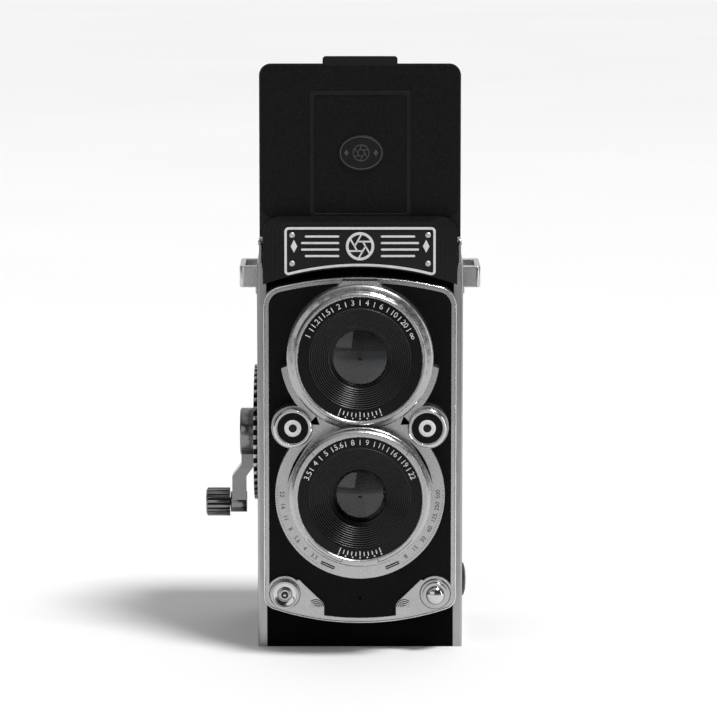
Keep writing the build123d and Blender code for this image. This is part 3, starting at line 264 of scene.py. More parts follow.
def print_white(name):
    """White ink or filled engraving, a little uneven."""
    tone = 0.75
    mat, tree, shader = blank(name)
    cloud = noise(tree, 700, 3)
    tree.links.new(two_tones(tree, cloud, grey(tone * 0.88), grey(tone)), shader.inputs["Base Color"])
    tree.links.new(spread(tree, cloud, 0.4, 0.55), shader.inputs["Roughness"])
    relief(tree, shader, cloud, 0.2, 0.01)
    return mat


BLACK = enamel("black_enamel", 0.007, 0.4, shine=0.24)
BLACK_BEAD = enamel("black_bead", 0.006, 0.36, shine=0.27)
BLACK_HOUSING = enamel("black_housing", 0.006, 0.28, depth=0.006, shine=0.3)
# Painted shade: a darker, duller copy of the black enamel for the casting below the lens board and the base
# plate, which lie in shade.
BLACK_SHADED = enamel("black_enamel_shaded", 0.0016, 0.6, shine=0.03)
# Black anodised parts, also used for the painted shade in the dial's grooves and the knob's flutes.
BLACK_FLAT_AND_SHADE = enamel("black_anodised", 0.003, 0.5, depth=0.006, shine=0.12)
BLACK_RIBS = enamel("black_ribs", 0.002, 0.27, depth=0.003, shine=0.2)
# Painted highlight: a lighter, shinier black for the ribs' crests, where light catches them.
RIB_HIGHLIGHT = enamel("rib_crest", 0.035, 0.35, depth=0.002, shine=0.5)
# Flocked black inside the camera, also used for sheets of painted shade on the front.
BLACK_INSIDE_AND_SHADE = enamel("black_flocked_and_shade", 0.003, 0.85, depth=0.02, scale=1800, shine=0.05)
MOULDED = enamel("black_moulded", 0.02, 0.45, depth=0.01)
LEATHER = leatherette("leatherette", tone=0.006, shine=0.18)
LEATHER_FINE = leatherette("leatherette_fine", tone=0.0035, grain=1900.0, depth=0.05, rough=0.5, shine=0.11)
LEATHER_LID = leatherette("leatherette_lid", tone=0.0065, grain=1500.0, depth=0.06, rough=0.5, shine=0.15)
ALUMINIUM = metal("satin_aluminium", 0.41, 0.36, stretch=(1, 1, 0.06), scale=2400, depth=0.003)
SATIN = metal("satin_chrome", 0.47, 0.28)
GREY_METAL = metal("grey_relief", 0.12, 0.4)
ENGRAVED = enamel("engraving_fill", 0.02, 0.6, depth=0.004)
CHROME = metal("bright_chrome", 0.62, 0.12, rough_spread=0.03, depth=0.002)
HUB = metal("polished_hub", 0.22, 0.2, rough_spread=0.015, stretch=(0.05, 1, 1), depth=0.001, bump=0.02)
LUG_CHROME = metal("lug_chrome", 0.56, 0.3)
COLLAR_CHROME = metal("collar_chrome", 0.45, 0.2, rough_spread=0.03, depth=0.002)
RIVET = metal("rivet_silver", 0.6, 0.48)
RIM_CHROME = metal("rim_chrome", 0.8, 0.22, rough_spread=0.03, depth=0.002)
TURNED_TAKING = turned("turned_chrome_taking", 0.48, 0.26, TAKING_Z)
TURNED_VIEWING = turned("turned_chrome_viewing", 0.42, 0.28, VIEWING_Z)
STEEL = metal("turned_steel", 0.45, 0.3)
BLUED = metal("blued_steel", 0.12, 0.33)
BRASS_MAT = metal("brass", 0.4, 0.3)
SILVER = metal("mirror_silver", 0.85, 0.03, rough_spread=0.01, depth=0.0)
GLASS = glass("coated_glass", tint=(0.22, 0.225, 0.235), coating=0.2, smear=0.003)
GLASS_DIM = glass("viewing_glass", tint=(0.16, 0.165, 0.17), smear=0.003)
CLEAR = glass("magnifier_glass")
GROUND = glass("ground_glass", tint=(0.93, 0.94, 0.93), rough=0.35)
WHITE = print_white("white_print")
NAME_BLACK = enamel("nameplate_field", 0.007, 0.6, depth=0.06, scale=3200)

NODE_LOOK = {
    "body_casting": BLACK_SHADED,
    "side_plate_left": ALUMINIUM,
    "side_plate_right": ALUMINIUM,
    "side_leathers": LEATHER,
    "base_plate": BLACK_SHADED,
    "tripod_socket": STEEL,
    "film_gate": BLACK_FLAT_AND_SHADE,
    "guide_roller_lower": STEEL,
    "guide_roller_upper": STEEL,
    "mirror_frame": BLACK_INSIDE_AND_SHADE,
    "reflex_mirror": SILVER,
    "focusing_screen": GROUND,
    "strap_lugs": LUG_CHROME,
    "trim_screws": RIVET,
    "nameplate_housing": BLACK_HOUSING,
    "nameplate": NAME_BLACK,
    "hood_base_frame": BLACK,
    "hood_side_rails": ALUMINIUM,
    "hinge_pins": STEEL,
    "hood_lid": BLACK,
    "sports_flap": BLACK,
    "magnifier_frame": BLACK_FLAT_AND_SHADE,
    "magnifier_lens": CLEAR,
    "hood_wing_right": BLACK,
    "hood_wing_left": BLACK,
    "hood_rear_panel": BLACK,
    "back_door": BLACK,
    "pressure_plate": BLACK_FLAT_AND_SHADE,
    "pressure_spring": BLUED,
    "back_latch": SATIN,
    "supply_spool": MOULDED,
    "take_up_spool": MOULDED,
    "take_up_gear": BRASS_MAT,
    "crank_shaft": STEEL,
    "focus_dial": SATIN,
    "crank_arm": HUB,
    "crank_knob": HUB,
    "spool_knob": BLACK,
    "lens_board": SATIN,
    "board_leather": LEATHER_FINE,
    "board_skirt": BLACK_FLAT_AND_SHADE,
    "shutter_cover": SATIN,
    "viewing_lens_ring": TURNED_VIEWING,
    "viewing_baffle": BLACK_RIBS,
    "viewing_elements": GLASS_DIM,
    "taking_lens_ring": TURNED_TAKING,
    "taking_baffle": BLACK_RIBS,
    "taking_elements": GLASS,
    "lens_barrels": BLACK_INSIDE_AND_SHADE,
    "shutter_and_iris_blades": BLUED,
    "readout_cap": SATIN,
    "corner_plates": SATIN,
    "sync_socket": COLLAR_CHROME,
    "release_collar": COLLAR_CHROME,
    "release_button": CHROME,
    "release_spring": STEEL,
    "aperture_wheel": CHROME,
    "speed_wheel": CHROME,
    "aperture_ring": BRASS_MAT,
    "speed_ring": BRASS_MAT,
}
# Nodes whose edges stay as the CAD has them: glass, thin leather, the spring and the close lower ribs.
NO_BEVEL = {
    "viewing_elements", "taking_elements", "magnifier_lens",
    "side_leathers", "board_leather", "release_spring", "taking_baffle",
}
EDGE = 0.15  # width of the rounding on a node's sharp edges, where the next table has no other
EDGE_OF = {
    "side_plate_left": 0.35,
    "side_plate_right": 0.35,
    "lens_board": 0.05,
    "strap_lugs": 0.35,
    "shutter_cover": 0.4,
    "nameplate_housing": 0.28,
    "hood_lid": 0.3,
    "back_door": 0.4,
    "corner_plates": 0.06,
    "crank_arm": 0.2,
    "focus_dial": 0.06,
    "viewing_baffle": 0.03,
}


SHARP_FROM = 38  # degrees: edges sharper than this are rounded or stay sharp, and the others are smoothed


def soften(obj, width_mm):
    """Joins the shells' faces, rounds their sharp edges a little and smooths the rest."""
    weld = obj.modifiers.new("weld", "WELD")
    weld.merge_threshold = 0.002 * MM
    bevel = obj.modifiers.new("edge", "BEVEL")
    bevel.width = width_mm * MM
    bevel.segments = 2
    bevel.limit_method = "ANGLE"
    bevel.angle_limit = math.radians(SHARP_FROM)
    bevel.harden_normals = True
    bevel.use_clamp_overlap = True


def dress_nodes():
    """Gives each CAD node its material and rounds its edges."""
    for name, look in NODE_LOOK.items():
        obj = NODES[name]
        obj.data.materials.clear()
        obj.data.materials.append(look)
        if name not in NO_BEVEL:
            soften(obj, EDGE_OF.get(name, EDGE))


# ---- piece makers --------------------------------------------------------------------------------
ROUND_STEPS = 96
BOX_FACES = ((0, 1, 3, 2), (4, 6, 7, 5), (0, 4, 5, 1), (2, 3, 7, 6), (0, 2, 6, 4), (1, 5, 7, 3))
IRIS_BLADES = 6


def finish_piece(obj, body, look):
    """Puts a piece in the scene with its material and on its body."""
    bpy.context.scene.collection.objects.link(obj)
    if obj.type == "MESH":
        obj.data.materials.clear()
        obj.data.materials.append(look)
        for face in obj.data.polygons:
            face.use_smooth = True
        obj.data.set_sharp_from_angle(angle=math.radians(SHARP_FROM))
    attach(obj, body)
    return obj


def mesh_piece(name, verts, faces, body, look):
    """A piece from corners in millimetres and faces that turn outwards."""
    data = bpy.data.meshes.new(name)
    data.from_pydata([Vector(v) * MM for v in verts], [], faces)
    data.update()
    bm = bmesh.new()
    bm.from_mesh(data)
    bmesh.ops.recalc_face_normals(bm, faces=bm.faces)
    bm.to_mesh(data)
    bm.free()
    return finish_piece(bpy.data.objects.new(name, data), body, look)


def lathe_y(name, profile, x, z, body, look, steps=ROUND_STEPS):
    """Turns a closed or axis-to-axis (radius, y) outline about a line along Y."""
    verts, faces, rings = [], [], []
    for r, y in profile:
        if r < 1e-6:
            rings.append([len(verts)])
            verts.append((x, y, z))
        else:
            rings.append(list(range(len(verts), len(verts) + steps)))
            for i in range(steps):
                a = TAU * i / steps
                verts.append((x + r * math.cos(a), y, z + r * math.sin(a)))
    closed = len(rings[0]) > 1 and len(rings[-1]) > 1
    pairs = zip(rings, rings[1:] + rings[:1]) if closed else zip(rings, rings[1:])
    for a, b in pairs:
        for i in range(steps):
            j = (i + 1) % steps
            if len(a) == 1:
                faces.append((a[0], b[i], b[j]))
            elif len(b) == 1:
                faces.append((a[i], a[j], b[0]))
            else:
                faces.append((a[i], a[j], b[j], b[i]))
    return mesh_piece(name, verts, faces, body, look)


def rings_y(name, circles, half, z, body, slot, look):
    """Thin rings of diamond section about a line along Y at height z, each given as (radius, y)."""
    verts, faces = [], []
    for r, y in circles:
        n = len(verts)
        for i in range(ROUND_STEPS):
            a = TAU * i / ROUND_STEPS
            for dr, dy in ((-half, 0), (0, -half), (half, 0), (0, half)):
                verts.append(((r + dr) * math.cos(a), y + dy, z + (r + dr) * math.sin(a)))
        for i in range(ROUND_STEPS):
            here, following = n + 4 * i, n + 4 * ((i + 1) % ROUND_STEPS)
            for k in range(4):
                m = (k + 1) % 4
                faces.append((here + k, here + m, following + m, following + k))
    return mesh_piece(name, verts, faces, body, look)


def arc(cx, cz, r, a0, a1, steps=12):
    """Points on an arc, angles in degrees."""
    turns = [math.radians(a0 + (a1 - a0) * i / steps) for i in range(steps + 1)]
    return [(cx + r * math.cos(t), cz + r * math.sin(t)) for t in turns]


def rounded_rectangle(x0, x1, z0, z1, r, steps=6):
    """Outline of a rectangle with rounded corners, anticlockwise from the foot of its upper right one."""
    left, right, low, high = x0 + r, x1 - r, z0 + r, z1 - r
    points = []
    for cx, cz, a in ((right, high, 0), (left, high, 90), (left, low, 180), (right, low, 270)):
        points += arc(cx, cz, r, a, a + 90, steps)
    return points


def bowed_outline(half, low, high, low_arc, high_arc, low_r, high_r):
    """Upright sides, bowed bottom and top, rounded corners; the same figure as the lens board."""

    def corner(big, centre_z, r, sign):
        z = centre_z + sign * math.sqrt((big - r) ** 2 - (half - r) ** 2)
        return half - r, z, math.degrees(math.atan2(z - centre_z, half - r))

    lx, lz, la = corner(low_arc, low + low_arc, low_r, -1)
    hx, hz, ha = corner(high_arc, high - high_arc, high_r, 1)
    points = arc(0, low + low_arc, low_arc, -180 - la, la, 24)
    points += arc(lx, lz, low_r, la, 0, 8)
    points += arc(hx, hz, high_r, 0, ha, 8)
    points += arc(0, high - high_arc, high_arc, ha, 180 - ha, 24)
    points += arc(-hx, hz, high_r, 180 - ha, 180, 8)
    points += arc(-lx, lz, low_r, 180, 180 - la, 8)
    return points


def sheet_y(name, loops, y_front, thick, body, slot, look, bevel=0.0):
    """A flat sheet facing -Y, whose outline and holes are loops of (x, z)."""
    curve = bpy.data.curves.new(name, "CURVE")
    curve.dimensions = "2D"
    curve.fill_mode = "BOTH"
    curve.extrude = (thick / 2 - bevel) * MM
    curve.bevel_depth = bevel * MM
    curve.bevel_resolution = 2
    curve.offset = -bevel * MM
    for loop in loops:
        spline = curve.splines.new("POLY")
        spline.points.add(len(loop) - 1)
        for point, (x, z) in zip(spline.points, loop):
            point.co = (x * MM, z * MM, 0, 1)
        spline.use_cyclic_u = True
    holder = bpy.data.objects.new(name + "_curve", curve)
    data = bpy.data.meshes.new_from_object(holder)
    bpy.data.objects.remove(holder)
    turn = Matrix(((1, 0, 0, 0), (0, 0, -1, 0), (0, 1, 0, 0), (0, 0, 0, 1)))
    data.transform(Matrix.Translation((0, (y_front + thick / 2) * MM, 0)) @ turn)
    data.name = name
    return finish_piece(bpy.data.objects.new(name, data), body, look)


def bead(name, points, y, r, body, look):
    """A thin round bead along a closed loop of (x, z) points at one depth."""
    curve = bpy.data.curves.new(name, "CURVE")
    curve.dimensions = "3D"
    curve.bevel_depth = r * MM
    curve.bevel_resolution = 4
    spline = curve.splines.new("POLY")
    spline.points.add(len(points) - 1)
    for point, (x, z) in zip(spline.points, points):
        point.co = (x * MM, y * MM, z * MM, 1)
    spline.use_cyclic_u = True
    holder = bpy.data.objects.new(name + "_curve", curve)
    data = bpy.data.meshes.new_from_object(holder)
    bpy.data.objects.remove(holder)
    data.name = name
    return finish_piece(bpy.data.objects.new(name, data), body, look)


FACINGS = {
    "front": Matrix(((1, 0, 0, 0), (0, 0, -1, 0), (0, 1, 0, 0), (0, 0, 0, 1))),
    "left": Matrix(((0, 0, -1, 0), (-1, 0, 0, 0), (0, 1, 0, 0), (0, 0, 0, 1))),
}


def figures(name, texts, size, thick, look, body, facing="front"):
    """Small figures on one side of the camera: each comes as (text, x, y, z, clockwise turn in degrees)."""
    bm = bmesh.new()
    for text, x, y, z, turn in texts:
        font = bpy.data.curves.new(name, "FONT")
        font.body = text
        font.size = size * MM
        font.extrude = thick / 2 * MM
        font.align_x, font.align_y = "CENTER", "CENTER"
        font.resolution_u = 3
        holder = bpy.data.objects.new(name + "_text", font)
        data = bpy.data.meshes.new_from_object(holder)
        bpy.data.objects.remove(holder)
        spin = Matrix.Rotation(math.radians(-turn), 4, "Z")
        data.transform(Matrix.Translation(Vector((x, y, z)) * MM) @ FACINGS[facing] @ spin)
        bm.from_mesh(data)
        bpy.data.meshes.remove(data)
    whole = bpy.data.meshes.new(name)
    bm.to_mesh(whole)
    bm.free()
    return finish_piece(bpy.data.objects.new(name, whole), body, look)


def bars(name, boxes, body, look):
    """Small rectangular bars joined into one piece; each box is (x0, x1, y0, y1, z0, z1)."""
    verts, faces = [], []
    for x0, x1, y0, y1, z0, z1 in boxes:
        n = len(verts)
        verts += [(x, y, z) for x in (x0, x1) for y in (y0, y1) for z in (z0, z1)]
        faces += [tuple(n + q for q in quad) for quad in BOX_FACES]
    return mesh_piece(name, verts, faces, body, look)


def around(angle, r, x=0.0, z=0.0):
    """The point at a clockwise angle from the top, in degrees, and a radius from (x, z)."""
    t = math.radians(angle)
    return x + r * math.sin(t), z + r * math.cos(t)


def band(r0, r1, first, last, x=0.0, z=0.0, steps=24, taper=False):
    """The outline of part of a ring between two clockwise angles; taper narrows it to nothing at its ends."""
    angles = [first + (last - first) * i / steps for i in range(steps + 1)]
    outer = [around(a, r1, x, z) for a in angles]
    grow = [math.sin(math.pi * i / steps) if taper else 1.0 for i in range(steps + 1)]
    inner = [around(a, r1 - (r1 - r0) * g, x, z) for a, g in zip(angles, grow)]
    return outer + (inner[-2:0:-1] if taper else inner[::-1])


def tick(angle, r0, r1, width, x=0.0, z=0.0):
    """The outline of a thin radial line."""
    turn = math.degrees(width / 2 / ((r0 + r1) / 2))
    return [around(angle + t, r, x, z) for t, r in ((-turn, r0), (turn, r0), (turn, r1), (-turn, r1))]


def circle(r, x=0.0, z=0.0, steps=32):
    """A closed round outline, without the repeated last point."""
    return arc(x, z, r, 0, 360, steps)[:-1]


def diamond(x, z, half_width, half_height):
    """Outline of an upright diamond."""
    return [(x + half_width, z), (x, z + half_height), (x - half_width, z), (x, z - half_height)]


def arched_outline(half, low, high, bow, low_r, high_r, inset=0.0):
    """The nameplate's outline: level top, arched bottom whose middle is at low, rounded corners."""
    big = bow + inset
    centre = low + inset - big
    half, high = half - inset, high - inset
    low_r, high_r = max(0.3, low_r - inset), max(0.3, high_r - inset)
    cx = half - low_r
    cz = centre + math.sqrt((big + low_r) ** 2 - cx**2)
    touch = math.degrees(math.atan2(cz - centre, cx))
    right = arc(cx, cz, low_r, touch - 180, 0, 6) + arc(half - high_r, high - high_r, high_r, 0, 90, 6)
    left = [(-px, pz) for px, pz in reversed(right)]
    return right + left + arc(0, centre, big, 180 - touch, touch, 24)[1:-1]


def iris(x, z, outer, opening, width):
    """Outlines of the straight blade edges that run from an iris ring to its many-sided opening."""
    turns = [TAU * i / IRIS_BLADES for i in range(IRIS_BLADES)]
    corners = [Vector((math.cos(t), math.sin(t))) * opening for t in turns]
    made = []
    for near, end in zip(corners, corners[1:] + corners[:1]):
        along = (near - end).normalized()
        half = end.dot(along)
        start = end + along * (math.sqrt(half * half - end.length_squared + outer * outer) - half)
        side = Vector((-along.y, along.x)) * width / 2
        made.append([(v.x + x, v.y + z) for v in (start + side, end + side, end - side, start - side)])
    return made


def prisms_y(name, loops, y_front, thick, body, look):
    """Prisms that face -Y, one for each loop of (x, z), joined into one piece; they may cross each other."""
    verts, faces = [], []
    for loop in loops:
        n, count = len(verts), len(loop)
        verts += [(x, y, z) for y in (y_front, y_front + thick) for x, z in loop]
        faces += [tuple(range(n, n + count)), tuple(range(n + 2 * count - 1, n + count - 1, -1))]
        for i in range(count):
            j = (i + 1) % count
            faces.append((n + i, n + j, n + count + j, n + count + i))
    return mesh_piece(name, verts, faces, body, look)


def ring_bars(name, count, bar, y, z, body, slot, look):
    """Bars set round a line along X through (y, z); a bar is (x0, x1, half width, inner and outer radius)."""
    x0, x1, half, r0, r1 = bar
    verts, faces = [], []
    for i in range(count):
        a = TAU * i / count
        n = len(verts)
        for x in (x0, x1):
            for t in (-half, half):
                for r in (r0, r1):
                    dy, dz = r * math.cos(a) - t * math.sin(a), r * math.sin(a) + t * math.cos(a)
                    verts.append((x, y + dy, z + dz))
        faces += [tuple(n + q for q in quad) for quad in BOX_FACES]
    return mesh_piece(name, verts, faces, body, look)


def curve_side(name, loops, x_outer, thick, body, slot, look, bevel=0.0):
    """A flat sheet facing -X; loops are (y, z) and its outer face is at x_outer."""
    made = sheet_y(name, [[(-y, z) for y, z in loop] for loop in loops], 0, thick, body, slot, look, bevel)
    made.data.transform(Matrix.Translation((x_outer * MM, 0, 0)) @ Matrix.Rotation(math.radians(-90), 4, "Z"))
    return made


# ---- fine pieces ---------------------------------------------------------------------------------
# Painted shade: the look of flat black sheets put where parts are dark only because they lie in shade.
PAINTED_SHADE = ("front_standard", "black_anodised", BLACK_INSIDE_AND_SHADE)


def nameplate_pieces():
    """White raised border and a plain ornament: an iris between two fans of bars."""
    front = PLATE_LOW.y
    plate = (PLATE_HIGH.x, PLATE_ARCH, PLATE_HIGH.z, PLATE_ARCH_R, 1.6, 1.8)
    borders = [arched_outline(*plate, inset) for inset in (0.15, 1.05)]
    sheet_y("nameplate_border", borders, front - 0.35, 0.35, "camera_body", None, WHITE, 0.08)
    middle = 151.1  # height of the ornament's middle
    bar_start, bar_ends = 7.6, (20.2, 21.6, 21.6, 20.2)
    bar_half, bar_gap = 0.38, 2.4
    strokes = [circle(5.2, 0, middle, 40), circle(4.2, 0, middle, 40)]
    for side in (-1, 1):
        for i, bar_end in enumerate(bar_ends):
            x0, x1 = sorted((side * bar_start, side * bar_end))
            z = middle + bar_gap * (1.5 - i)
            strokes.append(rounded_rectangle(x0, x1, z - bar_half, z + bar_half, 0.37, 4))
        strokes.append(diamond(side * 24.2, middle, 1.2, 2.4))
    sheet_y("nameplate_ornament", strokes, front - 0.3, 0.3, "camera_body", None, WHITE, 0.05)
    blades = iris(0, middle, 4.5, 2.0, 0.6)
    prisms_y("nameplate_iris", blades, front - 0.28, 0.28, "camera_body", WHITE)


def hood_pieces():
    """Leatherette on the lid and on its flap, the flap's bead and a plain medallion."""
    front = LID_LOW.y
    skin = 0.15  # thickness of the leatherette here

    def round_flap(grow, r):
        return rounded_rectangle(
            FLAP_LOW.x - grow, FLAP_HIGH.x + grow, FLAP_LOW.z - grow, FLAP_HIGH.z + grow, r
        )

    margin = 0.7
    half, top = LID_HIGH.x - margin, LID_TOP - margin
    covering = ("leatherette", LEATHER_LID, 0.05)
    lid = [rounded_rectangle(-half, half, LID_FOOT, top, 3.7), round_flap(0.9, 0.9)]
    sheet_y("lid_covering", lid, front - skin, skin, "hood_lid", *covering)
    rims = [round_flap(0.8, 0.9), round_flap(-0.6, 0.9)]
    sheet_y("flap_bead", rims, front - 0.45, 0.45, "hood_lid", "black_enamel", BLACK_BEAD, 0.2)
    sheet_y("flap_covering", [round_flap(-0.9, 0.6)], front - skin, skin, "sports_flap", *covering)
    x, z = 0.4, 184.6  # the medallion's middle
    oval_width, oval_height = 8.3, 6.6  # half sizes of the medallion

    def oval(grow):
        wide, high = oval_width + grow, oval_height + grow
        return [(x + px * wide, z + pz * high) for px, pz in circle(1, steps=48)]

    sheet_y("medallion", [oval(0)], front - 0.75, 0.62, "sports_flap", "black_enamel", BLACK, 0.25)
    lines = [oval(-0.45), oval(-0.85), circle(3.1, x, z), circle(2.75, x, z)]
    for side in (-1, 1):
        lines.append(diamond(x + side * 5.4, z, 0.9, 1.2))
    sheet_y("medallion_lines", lines, front - 0.87, 0.14, "sports_flap", "satin_aluminium", GREY_METAL, 0.03)
    blades = iris(x, z, 2.9, 1.3, 0.34)
    prisms_y("medallion_iris", blades, front - 0.86, 0.12, "sports_flap", GREY_METAL)


def lens_pieces():
    """Distance figures round the upper lens and aperture figures round the lower one, with their ticks."""
    distances = ("1", "1.2", "1.5", "2", "3", "4", "6", "10", "20", "\u221e")
    apertures = ("3.5", "4", "5", "5.6", "8", "9", "11", "16", "19", "22")
    end_angle, figure_r, dot_r = 66, 20.7, 22.0
    mark_low, mark_high = 19.7, 21.7  # radii of a mark between two figures
    foot_low, foot_fifth, foot_high = 19.9, 19.5, 21.4  # radii of the ticks low down; every fifth is longer
    raised = 0.12
    for name, z, face, texts in (
        ("viewing", VIEWING_Z, VIEWING_FACE, distances),
        ("taking", TAKING_Z, TAKING_FACE, apertures),
    ):
        rows, marks = [], []
        gaps = len(texts) - 1
        for i, text in enumerate(texts):
            angle = -end_angle + 2 * end_angle * i / gaps
            x, z_text = around(angle, figure_r, 0, z)
            rows.append((text, x, face - raised / 2, z_text, angle))
            if i < gaps:
                marks.append(tick(angle + end_angle / gaps, mark_low, mark_high, 0.3, 0, z))
        figures(name + "_scale_figures", rows, 2.9, raised, WHITE, "front_standard")
        for i in range(-5, 6):
            low = foot_fifth if i % 5 == 0 else foot_low
            marks.append(tick(180 + i * 4.2, low, foot_high, 0.32, 0, z))
        sheet_y(name + "_scale_ticks", marks, face - raised, raised, "front_standard", None, WHITE)
        dots = [circle(0.28, *around(180 + 7 * i, dot_r, 0, z), 12) for i in range(-3, 4)]
        sheet_y(name + "_scale_dots", dots, face - raised, raised, "front_standard", None, WHITE)


def rib_pieces():
    """Painted highlights: lighter rings on the crests of the stepped ribs round both glasses."""
    crest_half, crest_rise = 0.09, 0.28
    # For each glass: where the ribs end, and how far they step back from the band.
    for name, z, face, inner, drop in (
        ("viewing", VIEWING_Z, VIEWING_FACE, 11.4, 3.2),
        ("taking", TAKING_Z, TAKING_FACE, 11.5, 4.6),
    ):
        pitch = (BAND_R - inner) / RIBS
        radii = [BAND_R - pitch * (i - CREST_FROM_STEP) for i in range(1, RIBS + 1)]
        crests = [(r, face + drop * i / RIBS - crest_rise) for i, r in enumerate(radii, 1)]
        # The crests carry painted highlights.
        look = ("front_standard", "black_anodised", RIB_HIGHLIGHT)
        rings_y(name + "_rib_crests", crests, crest_half, z, *look)


def bezel_pieces():
    """Painted shade beside the taking ring, engraved figures, index marks and bayonet steps on the bright
    rings.
    """
    engraved = ("front_standard", "black_anodised", ENGRAVED)
    cut = 0.03  # how far a dark line stands on its face
    ring = TAKING_HIGH.x
    # Painted shade: dark crescents on the cover beside the taking ring, narrowing to nothing at their ends.
    gaps = [band(ring + 0.12, ring + 1.0, side * 40, side * 82, 0, TAKING_Z, 30, True) for side in (-1, 1)]
    sheet_y("bezel_painted_shade", gaps, COVER_FRONT - cut, cut, *PAINTED_SHADE)
    rows = []
    figure_r, figure_pitch = 28.7, 9.0  # millimetres, degrees
    left = ("22", "16", "11", "8", "5.6", "4", "3.5")
    right = ("500", "250", "125", "60", "30", "15", "8")
    for side, texts in ((-1, left), (1, right)):
        for i, text in enumerate(texts):
            angle = side * (90 + figure_pitch * i)
            x, z = around(angle, figure_r, 0, TAKING_Z)
            rows.append((text, x, COVER_FRONT - 0.02, z, angle + 180))
    figures("cover_engraving", rows, 2.3, 0.05, ENGRAVED, "front_standard")
    lines = []
    first_tick, tick_pitch = 85.5, 1.8  # degrees
    for side in (-1, 1):
        for i in range(36):
            lines.append(tick(side * (first_tick + tick_pitch * i), 30.1, 30.7, 0.14, 0, TAKING_Z))
    sheet_y("cover_ticks", lines, COVER_FRONT - cut, cut, *engraved)
    face = VIEWING_LOW.y
    steps = []
    for side in (-1, 1):
        steps.append(tick(side * 17, 23.4, 24.3, 0.25, 0, VIEWING_Z))
        for i in (-1, 0, 1):
            steps.append(tick(side * (76.5 + 1.3 * i), 23.4, 24.0 - 0.2 * abs(i), 0.22, 0, VIEWING_Z))
    sheet_y("viewing_ring_index", steps, face - cut, cut, *engraved)
    x, z = around(137, 23.6, 0, VIEWING_Z)
    pin = [(0, face - 0.35), (0.3, face - 0.3), (0.45, face - 0.1), (0.45, face + 0.1), (0, face + 0.1)]
    lathe_y("viewing_ring_pin", pin, x, z, "front_standard", CHROME, 24)
    face = TAKING_LOW.y
    steps = [tick(side * a, 23.2, 24.4, 0.22, 0, TAKING_Z) for side in (-1, 1) for a in (164, 46)]
    steps += [band(24.2, 24.38, side * 164, side * 128, 0, TAKING_Z) for side in (-1, 1)]
    sheet_y("taking_ring_steps", steps, face - cut, cut, *engraved)


def wheel_pieces():
    """Black face, white ring and screw of both setting wheels."""
    for name, x in (("speed_wheel", WHEEL_X), ("aperture_wheel", -WHEEL_X)):
        face = WHEEL_LOW.y + 0.6
        dish = [(0, -0.05), (5.7, -0.05), (5.82, 0.1), (0, 0.1)]
        ring = [(1.5, 0), (1.5, -0.14), (1.6, -0.2), (3.0, -0.2), (3.1, -0.14), (3.1, 0)]
        screw = [(0, -0.42), (0.8, -0.4), (1.1, -0.3), (1.2, -0.1), (1.2, 0), (0, 0)]
        for part, profile, slot, look in (
            ("_face", dish, "black_anodised", BLACK_FLAT_AND_SHADE),
            ("_ring", ring, None, WHITE),
            ("_screw", screw, "black_anodised", BLACK),
        ):
            placed = [(r, face + y) for r, y in profile]
            lathe_y(name + part, placed, x, WHEEL_Z, name, look)


def board_pieces():
    """The board's edge bead, and painted shade: in its small hole, in the grooves round the gussets' tips and
    round the feet of their fittings.
    """
    inset = 0.28
    edge = bowed_outline(
        BOARD_HALF - inset, BOARD_FOOT + inset, BOARD_TOP - inset,
        BOARD_FOOT_BOW - inset, BOARD_TOP_BOW - inset, BOARD_FOOT_R - inset, BOARD_TOP_R - inset,
    )
    bead("board_edge_bead", edge, BOARD_FRONT + 0.02, 0.22, "front_standard", RIM_CHROME)
    sheet_y("hole_shade", [circle(HOLE_R, 0, HOLE_Z, 20)], LEATHER_FRONT + 0.12, 0.1, *PAINTED_SHADE)
    # Painted shade in the grooves round each gusset's tip.
    tips = []
    for side in (-1, 1):
        first, last = sorted((-85 * side, 40 * side))
        for r in TIP_RADII:
            tips.append(band(r - 0.15, r + 0.15, first, last, side * TIP_X, TIP_Z, 16))
    sheet_y("gusset_groove_shade", tips, GUSSET_FRONT + 0.02, 0.2, *PAINTED_SHADE)
    # Painted shade: a thin dark ring round the foot of each corner fitting.
    rings = []
    for x in (-SOCKET_X, SOCKET_X):
        rings += [circle(COLLAR_R, x, SOCKET_Z, 48), circle(COLLAR_R - 0.23, x, SOCKET_Z, 48)]
    sheet_y("collar_shade_rings", rings, GUSSET_FRONT - 0.03, 0.04, *PAINTED_SHADE)


